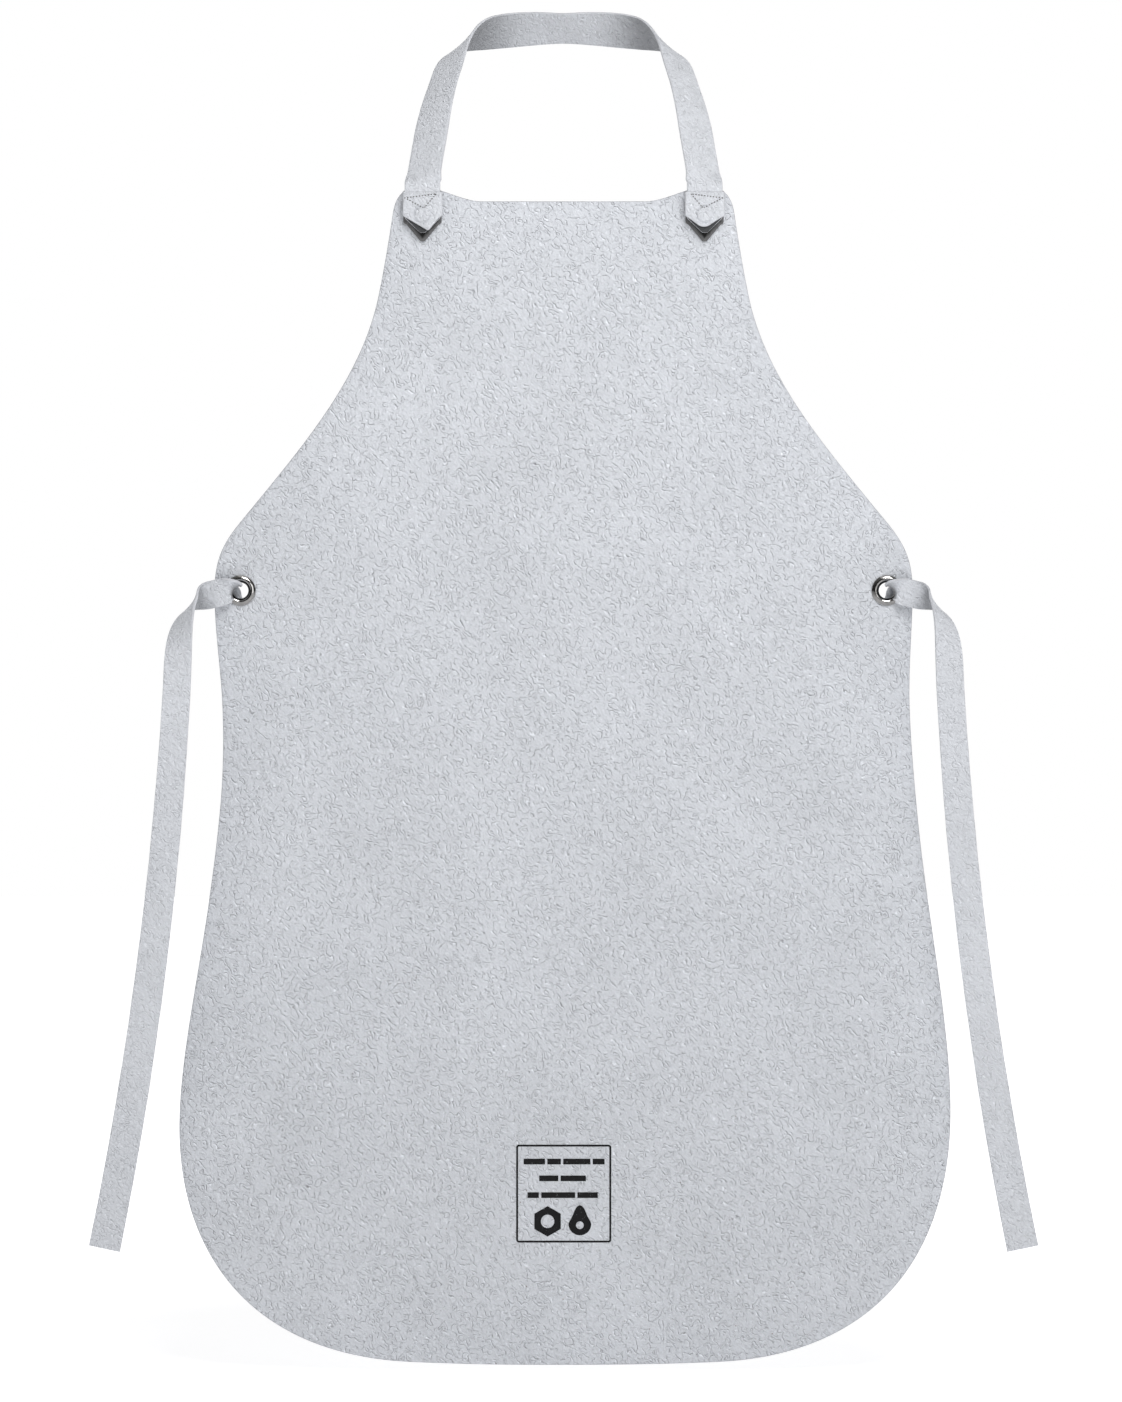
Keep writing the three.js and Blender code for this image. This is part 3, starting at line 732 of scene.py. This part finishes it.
def ink_finish():
    paint, tree, shader, place = new_finish("stamp_ink")
    missed = noisy(tree, place, 900, 3)
    worn = ranged(tree, missed, 0.66, 0.80, 0.0, 1.0)
    tone = put(tree, "ShaderNodeMix", {0: worn, 6: (*INK_BLACK, 1), 7: (*INK_WORN, 1)}, data_type="RGBA")
    tree.links.new(tone.outputs[2], shader.inputs["Base Color"])
    tree.links.new(ranged(tree, missed, 0.0, 1.0, 0.6, 0.95), shader.inputs["Roughness"])
    shader.inputs["Specular IOR Level"].default_value = 0.2
    bumped(tree, shader, missed, 0.0002)
    return paint


def ink_patches():
    """Each printed patch as rows of (x, z) from the stamp's middle; rows join into faces."""
    patches = []
    wide, tall = STAMP_HALF[0] - FRAME_ROUND, STAMP_HALF[1] - FRAME_ROUND
    corners = ((wide, tall, 0), (-wide, tall, 90), (-wide, -tall, 180), (wide, -tall, 270))
    ring = []
    for (x, z, first), (ahead_x, ahead_z, ahead) in zip(corners, corners[1:] + corners[:1]):
        for i in range(7):
            angle = math.radians(first + 15 * i)
            ring.append((x, z, math.cos(angle), math.sin(angle)))
        facing = (math.cos(math.radians(ahead)), math.sin(math.radians(ahead)))
        for i in range(1, 16):
            t = i / 16
            ring.append((x + (ahead_x - x) * t, z + (ahead_z - z) * t, *facing))
    ring.append(ring[0])
    patches.append([[(x + c * reach, z + d * reach) for x, z, c, d in ring]
                    for reach in (FRAME_ROUND, FRAME_ROUND - INK_LINE)])

    for z, left, lengths in DASHES:
        for long in lengths:
            count = max(2, round(long / 0.002) + 1)
            xs = [left + long * i / (count - 1) for i in range(count)]
            patches.append([[(x, z + DASH_TALL / 2) for x in xs], [(x, z - DASH_TALL / 2) for x in xs]])
            left += long + DASH_GAP

    def nut(x, z, outer, bore):
        rows = [[], []]
        for i in range(37):
            angle = 2 * math.pi * i / 36
            corner = (angle + math.pi / 6) % (math.pi / 3) - math.pi / 6
            reach = outer * math.cos(math.pi / 6) / math.cos(corner)
            for row, radius in zip(rows, (reach, bore)):
                row.append((x + radius * math.cos(angle), z + radius * math.sin(angle)))
        patches.append(rows)

    def drop(x, z, radius, top):
        rows = [[], []]
        for i in range(41):
            angle = -math.pi / 2 + 2 * math.pi * i / 40
            lift = max(0.0, math.sin(angle)) ** 6
            reach = radius + (top - radius) * lift
            pinch = 1 - 0.25 * max(0.0, math.sin(angle))
            rows[0].append((x + reach * math.cos(angle) * pinch, z + reach * math.sin(angle)))
            hole = radius * 0.34
            rows[1].append((x + hole * math.cos(angle), z - 0.001 + hole * math.sin(angle)))
        patches.append(rows)

    nut(-0.0125, -0.0215, 0.0118, 0.0052)
    drop(0.0125, -0.0235, 0.0088, 0.0145)
    return patches


ink_points, ink_faces = [], []
for rows in ink_patches():
    start, size = len(ink_points), len(rows[0])
    for lift in (INK_LIFT, INK_LIFT / 4):
        for row in rows:
            for x, z in row:
                x, z = x + STAMP_MIDDLE[0], z + STAMP_MIDDLE[1]
                ink_points.append((x, panel_face(x, z, 1.0) - lift, z))
    for i in range(size - 1):
        top = [start + i, start + i + 1, start + size + i + 1, start + size + i]
        under = [k + 2 * size for k in top]
        ink_faces += [tuple(top), tuple(reversed(under)), (top[1], top[0], under[0], under[1]),
                      (top[3], top[2], under[2], under[3])]
    for k in (0, size - 1):
        ink_faces.append((start + k, start + size + k, start + 3 * size + k, start + 2 * size + k))
stamp = face_outwards(keep("ink_stamp", ink_points, ink_faces, [ink_finish()]), merge=1e-6)
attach(stamp, "apron")


# ---- Eyelets ----
# Nickel-plated brass in two parts: a flanged barrel from the front, rolled over a plain washer behind,
# where its rim splits into six lobes. The flange is polished and slightly scratched by the tie.
NICKEL_WHITE = (1.0, 0.985, 0.965)
# Turned profiles as (radius, distance in front of the bib) in millimetres.
FLANGE = [(6.1, -3.0), (6.2, -0.8), (7.0, 0.9), (7.7, 1.9), (8.9, 2.35), (10.5, 1.9), (11.8, 0.8),
          (12.0, 0.3), (11.4, 0.2), (8.0, 0.2), (8.0, -3.0)]
WASHER = [(8.3, -2.4), (8.3, -1.7), (11.6, -1.7), (11.8, -2.0), (11.3, -2.4)]
# How dark the bore is painted: painted shade inside the eyelet.
BORE_PAINTED_SHADE = 0.97
# The rolled lobes behind: how many, their half width in degrees, and sizes in millimetres.
LOBES = 6
LOBE_HALF = 27
LOBE_ROLL = 0.95
LOBE_THICK = 0.45
LOBE_OUT = 8.25
LOBE_BEHIND = 2.75


def nickel_finish():
    paint, tree, shader, place = new_finish("nickel")
    stretched = put(tree, "ShaderNodeMapping", {"Vector": place, "Scale": (260, 2400, 700)}).outputs[0]
    smear = noisy(tree, place, 320, 2)
    # painted shade: the bore is made nearly black from the mesh's painted shade points
    bore_shade = put(tree, "ShaderNodeAttribute", attribute_name="painted_shade").outputs["Fac"]
    unshaded = put(tree, "ShaderNodeMath", {0: 1.0, 1: bore_shade}, operation="SUBTRACT").outputs[0]
    tone = put(tree, "ShaderNodeMath", {0: ranged(tree, smear, 0.3, 0.7, 0.50, 0.62), 1: unshaded},
               operation="MULTIPLY").outputs[0]
    tree.links.new(tinted(tree, NICKEL_WHITE, tone), shader.inputs["Base Color"])
    shader.inputs["Metallic"].default_value = 1.0
    tree.links.new(ranged(tree, smear, 0.0, 1.0, 0.06, 0.17), shader.inputs["Roughness"])
    bumped(tree, shader, noisy(tree, stretched, 1.0, 3), 0.00003, 0.5)
    return paint


nickel = nickel_finish()


def eased_profile(profile, closed, rounds=3):
    """A turned profile with its corners cut back until they are round."""
    for _ in range(rounds):
        ends = list(zip(profile, profile[1:] + (profile[:1] if closed else [])))
        cut = []
        for (r, d), (s, e) in ends:
            cut += [(r * 0.8 + s * 0.2, d * 0.8 + e * 0.2), (r * 0.2 + s * 0.8, d * 0.2 + e * 0.8)]
        if not closed:
            cut = [profile[0]] + cut[1:-1] + [profile[-1]]
        profile = cut
    return profile


def turned(name, profile, x, z, closed, steps=72):
    """A profile turned about a line along Y through x and z."""
    profile = eased_profile(profile, closed)
    points, faces = [], []
    size = len(profile)
    for i in range(steps):
        angle = 2 * math.pi * i / steps
        for r, d in profile:
            points.append((x + r / 1000 * math.cos(angle), BIB_FRONT - d / 1000,
                           z + r / 1000 * math.sin(angle)))
    for i in range(steps):
        j = (i + 1) % steps
        for k in range(size if closed else size - 1):
            m = (k + 1) % size
            faces.append((i * size + k, i * size + m, j * size + m, j * size + k))
    return face_outwards(keep(name, points, faces, [nickel], crease=40), merge=1e-7)


def lobe_shape():
    """One lobe of the barrel's rim, rolled outwards, about the Y axis at the origin."""
    points, faces = [], []
    rows, columns = 9, 9
    for layer in (0.0, LOBE_THICK):
        for i in range(rows):
            roll = math.radians(-10 + 165 * i / (rows - 1))
            for j in range(columns):
                v = j / (columns - 1) * 2 - 1
                narrow = 1 - 0.28 * (i / (rows - 1)) ** 2
                angle = math.radians(LOBE_HALF) * v * narrow
                curve = LOBE_ROLL - layer
                radius = LOBE_OUT - curve * math.cos(roll)
                back = LOBE_BEHIND + curve * math.sin(roll) - 0.12 * v * v
                points.append((radius / 1000 * math.cos(angle), back / 1000,
                               radius / 1000 * math.sin(angle)))
    size = rows * columns
    for i in range(rows - 1):
        for j in range(columns - 1):
            a = i * columns + j
            b, c, d = a + 1, a + columns + 1, a + columns
            faces += [(a, b, c, d), (a + size, d + size, c + size, b + size)]
    rim = ([j for j in range(columns)] + [i * columns + columns - 1 for i in range(1, rows)]
           + [(rows - 1) * columns + j for j in range(columns - 2, -1, -1)]
           + [i * columns for i in range(rows - 2, 0, -1)])
    for a, b in zip(rim, rim[1:] + rim[:1]):
        faces.append((a, a + size, b + size, b))
    return points, faces


def ring_tree():
    """Repeats the given shape evenly about the Y axis, then moves the ring to its place."""
    tree = bpy.data.node_groups.new("repeat_about_axis", "GeometryNodeTree")
    face = tree.interface
    face.new_socket("Geometry", in_out="INPUT", socket_type="NodeSocketGeometry")
    count = face.new_socket("Count", in_out="INPUT", socket_type="NodeSocketInt")
    place = face.new_socket("Place", in_out="INPUT", socket_type="NodeSocketVector")
    finish = face.new_socket("Finish", in_out="INPUT", socket_type="NodeSocketMaterial")
    face.new_socket("Geometry", in_out="OUTPUT", socket_type="NodeSocketGeometry")
    given = put(tree, "NodeGroupInput").outputs
    spots = put(tree, "GeometryNodeMeshLine", {"Count": given["Count"], "Offset": (0, 0, 0)})
    index = put(tree, "GeometryNodeInputIndex").outputs[0]
    share = put(tree, "ShaderNodeMath", {0: index, 1: given["Count"]}, operation="DIVIDE")
    angle = put(tree, "ShaderNodeMath", {0: share.outputs[0], 1: 2 * math.pi}, operation="MULTIPLY")
    turn = put(tree, "ShaderNodeCombineXYZ", {"Y": angle.outputs[0]})
    copies = put(tree, "GeometryNodeInstanceOnPoints", {"Points": spots.outputs[0],
                                                        "Instance": given["Geometry"],
                                                        "Rotation": turn.outputs[0]})
    moved = put(tree, "GeometryNodeTransform", {"Geometry": copies.outputs[0],
                                                "Translation": given["Place"]})
    real = put(tree, "GeometryNodeRealizeInstances", {"Geometry": moved.outputs[0]})
    painted = put(tree, "GeometryNodeSetMaterial", {"Geometry": real.outputs[0],
                                                    "Material": given["Finish"]})
    put(tree, "NodeGroupOutput", {"Geometry": painted.outputs[0]})
    return tree, {"Count": count.identifier, "Place": place.identifier, "Finish": finish.identifier}


def grown(made, tree, names, values):
    """Runs a geometry tree on an object, and leaves its result as the object's plain mesh."""
    modifier = made.modifiers.new("grow", "NODES")
    modifier.node_group = tree
    for key, value in values.items():
        modifier[names[key]] = value
    bpy.context.view_layer.update()
    shown = made.evaluated_get(bpy.context.evaluated_depsgraph_get())
    mesh = bpy.data.meshes.new_from_object(shown)
    name = made.name
    bpy.data.objects.remove(made)
    mesh.name = name
    mesh.shade_smooth()
    mesh.set_sharp_from_angle(angle=math.radians(50))
    result = bpy.data.objects.new(name, mesh)
    bpy.context.collection.objects.link(result)
    return result


lobe_tree, lobe_inputs = ring_tree()
for side, sign in (("left", -1), ("right", 1)):
    flange = turned(f"eyelet_flange_{side}", FLANGE, sign * EYELET_OUT, EYELET_UP, True)
    radii = [math.hypot(v.co.x - sign * EYELET_OUT, v.co.z - EYELET_UP) for v in flange.data.vertices]
    # painted shade: the bore's wall is made nearly black
    paint_shade(flange, [BORE_PAINTED_SHADE * (1 - eased(radius, 0.0073, 0.0081)) for radius in radii])
    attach(flange, "apron")
    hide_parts(f"eyelet_{side}")
    points, faces = lobe_shape()
    lobe = keep(f"eyelet_lobes_{side}", points, faces, [nickel])
    lobes = grown(lobe, lobe_tree, lobe_inputs,
                  {"Count": LOBES, "Place": (sign * EYELET_OUT, BIB_FRONT, EYELET_UP), "Finish": nickel})
    face_outwards(lobes)
    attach(lobes, "apron")
    washer = turned(f"eyelet_plate_{side}", WASHER, sign * EYELET_OUT, EYELET_UP, True)
    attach(washer, "apron")
    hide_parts(f"eyelet_washer_{side}")


# ---- Backing patches and press studs ----
# Under each tab lies a dark pointed patch of leather on the bib, its middle painted near-black as the
# tab's shadow. A nickel press stud joins them: post and stud grip the bib and its patch, cap and socket
# grip the strap's end.
PATCH_WIDE = 0.0295
PATCH_THICK = 0.0015
PATCH_LIFT = 0.0019
PATCH_TOP, PATCH_SHOULDER, PATCH_TIP = 0.004, -0.021, -0.0355
# How dark the painted shadow under the plies makes the patch's middle.
PATCH_SHADE = 0.93
BACKING_BLACK = (0.15, 0.15, 0.152)
DARK_EDGE = (0.13, 0.13, 0.133)
# The press stud's four parts, as turned profiles in millimetres.
STUD_PARTS = {
    "snap_cap": [(0, 5.6), (1.2, 5.6), (1.2, 7.9), (5.9, 7.9), (5.9, 8.3), (4.9, 8.7), (0, 8.8)],
    "snap_socket": [(2.3, 3.6), (4.7, 3.4), (5.2, 3.8), (5.2, 5.3), (2.3, 5.3)],
    "snap_stud": [(0, 2.3), (4.6, 2.3), (4.6, 2.8), (3.4, 3.1), (1.6, 3.1), (1.9, 4.2), (1.4, 5), (0, 5.1)],
    "snap_post": [(0, -2.6), (4.4, -2.5), (5, -2.1), (5, -1.8), (1.2, -1.8), (1.2, 2), (0, 2)],
}
STUD_SIDES = {"snap_cap": "cap", "snap_socket": "socket", "snap_stud": "stud", "snap_post": "post"}
backing_leather = leather("backing_leather", BACKING_BLACK, wrinkles=0.5, cloud=0.5)
dark_edge = cut_edge("cut_edge_dark", DARK_EDGE)


def pointed(x, wide, top, shoulder, tip, aside=0.0, blunt=0.002):
    """A strap end's outline: top, shoulders and blunt point at heights from the stitch line."""
    h, r, low = wide / 2, 0.0025, tip + blunt / 2
    left, right = aside - blunt, aside + blunt
    fall = shoulder - r / 2 - low
    left_turn, right_turn = (r - h, shoulder - r / 2), (h - r, shoulder - r / 2)
    curves = [
        [(-h, top), (-h, shoulder + r), (-h, shoulder + r)],
        [(-h, shoulder), (-h, shoulder), left_turn],
        [left_turn, (left - (left + h - r) * 0.3, low + fall * 0.3), (left, low)],
        [(aside - blunt / 2, tip), (aside + blunt / 2, tip), (right, low)],
        [(right + (h - r - right) * 0.3, low + fall * 0.3), right_turn, right_turn],
        [(h, shoulder), (h, shoulder), (h, shoulder + r)],
        [(h, shoulder + r), (h, top), (h, top)],
        [(h, top), (-h, top), (-h, top)],
    ]
    loop = []
    for p in curve_points(curves, (-h, top), 0.0008):
        p = (x + p[0], STITCH_LINE + p[1])
        if not loop or math.dist(p, loop[-1]) > 2e-4:
            loop.append(p)
    while math.dist(loop[0], loop[-1]) < 2e-4:
        loop.pop()
    return loop


def patch_face(x, z, edge):
    """Front of the patch: flat, with its edge a little rounded."""
    return BIB_FRONT - PATCH_LIFT + 0.0002 * (1 - min(edge / 0.002, 1)) ** 2


for side, sign in (("left", -1), ("right", 1)):
    x = sign * STUD_OUT
    loops = [pointed(x, PATCH_WIDE, PATCH_TOP, PATCH_SHOULDER, PATCH_TIP),
             round_hole(x, STUD_UP, POST_HOLE, 14)]
    patch = cut_sheet(f"dark_patch_{side}", loops, 0.0016, PATCH_THICK, patch_face,
                      [backing_leather, dark_edge])
    rim = rim_finder(loops[0])
    # painted shadow: the patch goes near-black more than about 2 mm in from its rim
    paint_shade(patch, [PATCH_SHADE * eased(rim.find((v.co.x, 0, v.co.z))[2], 0.0014, 0.0036)
                   for v in patch.data.vertices])
    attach(patch, "apron")
    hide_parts(f"backing_patch_{side}")
    for node, profile in STUD_PARTS.items():
        piece = turned(f"stud_{STUD_SIDES[node]}_{side}", profile, x, STUD_UP, node == "snap_socket", 48)
        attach(piece, "apron")
        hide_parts(f"{node}_{side}")


# ---- Neck strap ----
# One strip of leather 28.5 mm wide: pointed ends under the tabs, straight legs, then half a turn round a
# slanting line on each side, so that its inner face lies against the back of the neck.
STRAP_WIDE = 0.0285
STRAP_THICK = 0.002
STRAP_SLANT = math.radians(43.5)
# Its half turn in three stages: degrees, and where each starts and ends along the strap.
STRAP_ROLLS = ((35, 0.004, 0.020), (17, 0.047, 0.106), (128, 0.113, 0.222))
STRAP_STEP = 0.0005
# Its pointed end hangs below the stitch line, and its straight start reaches a little above it.
STRAP_POINT = -0.0287
END_LONG = 0.0387
POINT_LONG = 0.0112
POINT_BLUNT = 0.004
LOOP_START = 0.0105
END_RINGS = 26
LOOP_RINGS = 110
# The back of the strap leans its top edge forwards, more so in its middle.
BACK_TILT = math.radians(14)
MIDDLE_TILT = math.radians(26)
LEG_FRONT = BIB_FRONT - 0.0066
AXIS = Vector((math.cos(STRAP_SLANT), 0, math.sin(STRAP_SLANT)))
OUTWARDS = Vector((-math.sin(STRAP_SLANT), 0, math.cos(STRAP_SLANT)))


def strap_roll(along):
    """How far the left half has rolled over, at a distance from its stitch line."""
    return math.radians(sum(angle * eased(along, start, end) for angle, start, end in STRAP_ROLLS))


def strap_way(along):
    """The left half's way, and the way its outer edge has turned to, at a distance from its stitch line."""
    roll = strap_roll(along)
    edge = OUTWARDS * math.cos(roll) + Vector((0, math.sin(roll), 0))
    return AXIS * math.cos(STRAP_SLANT) + edge * math.sin(STRAP_SLANT), edge


strap_line = [(0.0, Vector((-STUD_OUT, LEG_FRONT, STITCH_LINE)))]
while strap_line[-1][1].x < -1e-7:
    along, here = strap_line[-1]
    way = strap_way(along + STRAP_STEP / 2)[0]
    move = min(STRAP_STEP, -here.x / max(way.x, 1e-6))
    strap_line.append((along + move, here + way * move))
STRAP_HALF = strap_line[-1][0]


def strap_place(along):
    """Left half of the strap: centre, way, across and inner side at a distance from its stitch line."""
    i = min(int(along / STRAP_STEP), len(strap_line) - 2)
    (a, p), (b, q) = strap_line[i], strap_line[i + 1]
    way, edge = strap_way(along)
    rolled = eased(strap_roll(along), 0.72 * math.pi, math.pi)
    lean = (BACK_TILT + MIDDLE_TILT * eased(along, 0.185, STRAP_HALF)) * rolled
    side = AXIS * math.sin(STRAP_SLANT) - edge * math.cos(STRAP_SLANT)
    side = Matrix.Rotation(lean, 3, way) @ side
    rise = Vector((0, 0, 0.0044 * eased(along, 0.155, 0.228) - 0.0032 * eased(along, 0.10, 0.155)))
    return p.lerp(q, min(1.0, (along - a) / (b - a))) + rise, way, side, way.cross(side)


def strap_rings():
    """Rings and painted shades from one pointed end, up and over the middle, to the other."""
    rings, shades = [], []
    stitched = strap_place(0.0)[0]
    for i in range(END_RINGS + 1):
        up = STRAP_POINT + END_LONG * i / END_RINGS
        wide = STRAP_WIDE - 0.0010
        if up < STRAP_POINT + POINT_LONG:
            wide = POINT_BLUNT + (wide - POINT_BLUNT) * (up - STRAP_POINT) / POINT_LONG
        rings.append(strip_ring(stitched + Vector((0, 0, up)), Vector((1, 0, 0)), Vector((0, 1, 0)), wide,
                                STRAP_THICK))
        # painted shadow: the end's outer face is made near-black below the tab's point
        shades.append((0.0, 0.9 * (1 - eased(up, -0.020, -0.010))))
    for i in range(1, LOOP_RINGS + 1):
        along = LOOP_START + (STRAP_HALF - LOOP_START) * i / LOOP_RINGS
        centre, way, side, facing = strap_place(along)
        wide = STRAP_WIDE + 0.0004 * noise.noise(Vector((along * 45, 1.3, 0)))
        cup = 0.10 * eased(along, 0.02, 0.06) * (1 - eased(along, 0.10, 0.14))
        rings.append(strip_ring(centre, side, facing, wide, STRAP_THICK, cup))
        # painted shade: the inner face is darker by the folds at the corners, lighter over the middle
        shades.append((0.57 * eased(along, 0.11, 0.14) - 0.42 * eased(along, 0.168, 0.222), 0.0))
    mirrored = [[Vector((-p.x, p.y, p.z)) for p in ring] for ring in rings[:-1]]
    return rings + mirrored[::-1], shades + shades[-2::-1]


loop_rings, loop_shades = strap_rings()
strap = strip("neck_strap_loop", loop_rings, strap_leather, pale_edge, loop_shades)
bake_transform(strap)
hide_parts("neck_strap", "strap_end_left", "strap_end_right")


# ---- Tabs ----
# A pointed outer ply is sewn over each strap end with a triangle of dark thread, point down. The cap of
# the press stud raises a round bump in it, and its point lifts a little off the ply below.
TAB_WIDE = 0.0305
TAB_THICK = 0.0016
TAB_LIFT = 0.0095
TAB_TOP, TAB_SHOULDER = 0.0030, -0.016
# Each tab's point: its height from the stitch line, how far it sits aside, and how blunt it is.
TAB_TIPS = {"left": (-0.0272, 0.0042, 0.0012), "right": (-0.0250, -0.0006, 0.0055)}
BUMP_TALL = 0.0012
STITCH_SPACING = 0.0023
STITCH_LONG = 0.0013
THREAD_WIDE = 0.0009
THREAD_UP = 0.00012
THREAD_DARK = (0.045, 0.043, 0.04)
THREAD_LIGHT = (0.20, 0.195, 0.19)


def seam_corners(middle):
    """The seam's triangle about the tab's middle; its outer end sits lower, its point a little inboard."""
    s = math.copysign(1, middle)
    return [(0.0135 * s, -0.0021), (-0.0107 * s, 0.0010), (-0.0012 * s, -0.0100)]


def tab_face(x, z, edge, middle):
    """Front of the tab: bulged over the stud's cap, drawn in along the stitches, its edges rounded."""
    dx, up = x - middle, z - STITCH_LINE
    away = math.hypot(dx, z - STUD_UP)
    bump = BUMP_TALL * (1 - eased(away, 0.0050, 0.0062))
    bump -= 0.0006 * math.exp(-((away - 0.0066) / 0.0005) ** 2)
    nearest = 1.0
    corners = seam_corners(middle)
    for (ax, az), (bx, bz) in zip(corners, corners[1:] + corners[:1]):
        t = ((dx - ax) * (bx - ax) + (up - az) * (bz - az)) / ((bx - ax) ** 2 + (bz - az) ** 2)
        t = min(1.0, max(0.0, t))
        nearest = min(nearest, math.hypot(dx - ax - (bx - ax) * t, up - az - (bz - az) * t))
    seam = -0.00035 * math.exp(-(nearest / 0.0009) ** 2)
    lifted = 0.0006 * eased(-up, 0.019, 0.0265)
    rounded = -0.0003 * (1 - min(edge / 0.0011, 1)) ** 2
    skived = -0.0011 * eased(up, -0.0012, 0.0026)
    rough = 0.00012 * noise.noise(Vector((x * 260, 0.4, z * 260)))
    return BIB_FRONT - TAB_LIFT - bump - seam - lifted - rounded - rough - skived


def stitch_tree():
    """Stitches along a closed line: small capsules of thread, each turned a little by chance."""
    tree = bpy.data.node_groups.new("stitches_on_line", "GeometryNodeTree")
    face = tree.interface
    face.new_socket("Geometry", in_out="INPUT", socket_type="NodeSocketGeometry")
    made = {}
    for name, kind in (("Spacing", "NodeSocketFloat"), ("Length", "NodeSocketFloat"),
                       ("Thread", "NodeSocketFloat"), ("Seed", "NodeSocketInt"),
                       ("Finish", "NodeSocketMaterial")):
        made[name] = face.new_socket(name, in_out="INPUT", socket_type=kind).identifier
    face.new_socket("Geometry", in_out="OUTPUT", socket_type="NodeSocketGeometry")
    given = put(tree, "NodeGroupInput").outputs
    spaced = put(tree, "GeometryNodeResampleCurve", {"Curve": given["Geometry"],
                                                     "Length": given["Spacing"]}, mode="LENGTH")
    capsule = put(tree, "GeometryNodeMeshUVSphere", {"Segments": 8, "Rings": 6, "Radius": 0.5})
    jitter = put(tree, "FunctionNodeRandomValue", {"Seed": given["Seed"]}, data_type="FLOAT_VECTOR")
    jitter.inputs["Min"].default_value = (-0.16, -0.16, -0.16)
    jitter.inputs["Max"].default_value = (0.16, 0.16, 0.16)
    tangent = put(tree, "GeometryNodeInputTangent").outputs[0]
    way = put(tree, "ShaderNodeVectorMath", {0: tangent, 1: jitter.outputs[0]}, operation="ADD")
    turn = put(tree, "FunctionNodeAlignRotationToVector", {"Vector": way.outputs[0]}, axis="Z")
    size = put(tree, "ShaderNodeCombineXYZ", {"X": given["Thread"], "Y": given["Thread"],
                                              "Z": given["Length"]})
    sewn = put(tree, "GeometryNodeInstanceOnPoints", {"Points": spaced.outputs[0],
                                                      "Instance": capsule.outputs[0],
                                                      "Rotation": turn.outputs[0],
                                                      "Scale": size.outputs[0]})
    real = put(tree, "GeometryNodeRealizeInstances", {"Geometry": sewn.outputs[0]})
    painted = put(tree, "GeometryNodeSetMaterial", {"Geometry": real.outputs[0],
                                                    "Material": given["Finish"]})
    put(tree, "NodeGroupOutput", {"Geometry": painted.outputs[0]})
    return tree, made


def thread_finish():
    paint, tree, shader, place = new_finish("thread")
    grime = noisy(tree, place, 380, 1)
    tone = put(tree, "ShaderNodeMix", {0: grime, 6: (*THREAD_DARK, 1), 7: (*THREAD_LIGHT, 1)},
               data_type="RGBA")
    tree.links.new(tone.outputs[2], shader.inputs["Base Color"])
    tree.links.new(ranged(tree, grime, 0.0, 1.0, 0.6, 0.9), shader.inputs["Roughness"])
    bumped(tree, shader, noisy(tree, place, 4200, 1), 0.0001)
    return paint


thread = thread_finish()
sewing, sewing_inputs = stitch_tree()
for side, sign in (("left", -1), ("right", 1)):
    middle = sign * STUD_OUT
    loops = [pointed(middle, TAB_WIDE, TAB_TOP, TAB_SHOULDER, *TAB_TIPS[side])]
    tab = cut_sheet(f"strap_tab_{side}", loops, 0.0009, TAB_THICK,
                    lambda x, z, edge: tab_face(x, z, edge, middle), [strap_leather, pale_edge], 0.0005)
    behind = BIB_FRONT - TAB_LIFT + TAB_THICK
    # behind, the tab lies flat on the strap's end, except where it is hollow over the cap
    for vertex in tab.data.vertices:
        away = math.hypot(vertex.co.x - middle, vertex.co.z - STUD_UP)
        if vertex.co.y > behind - 0.0008 and away > 0.0068:
            vertex.co.y = max(vertex.co.y, behind - 0.0004)
    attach(tab, "apron")
    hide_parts(f"tab_{side}")

    path = bpy.data.curves.new(f"tab_stitches_{side}", "CURVE")
    path.dimensions = "3D"
    spline = path.splines.new("POLY")
    corners = seam_corners(middle)
    round_trip = []
    for (ax, az), (bx, bz) in zip(corners, corners[1:] + corners[:1]):
        for i in range(8):
            x, z = middle + ax + (bx - ax) * i / 8, STITCH_LINE + az + (bz - az) * i / 8
            round_trip.append((x, tab_face(x, z, 1.0, middle) - THREAD_UP, z))
    spline.points.add(len(round_trip) - 1)
    for point, place in zip(spline.points, round_trip):
        point.co = (*place, 1)
    spline.use_cyclic_u = True
    line = bpy.data.objects.new(f"tab_stitches_{side}", path)
    bpy.context.collection.objects.link(line)
    sewn = grown(line, sewing, sewing_inputs, {"Spacing": STITCH_SPACING, "Length": STITCH_LONG,
                                               "Thread": THREAD_WIDE, "Seed": 5, "Finish": thread})
    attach(sewn, "apron")
    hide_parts(f"stitching_{side}")
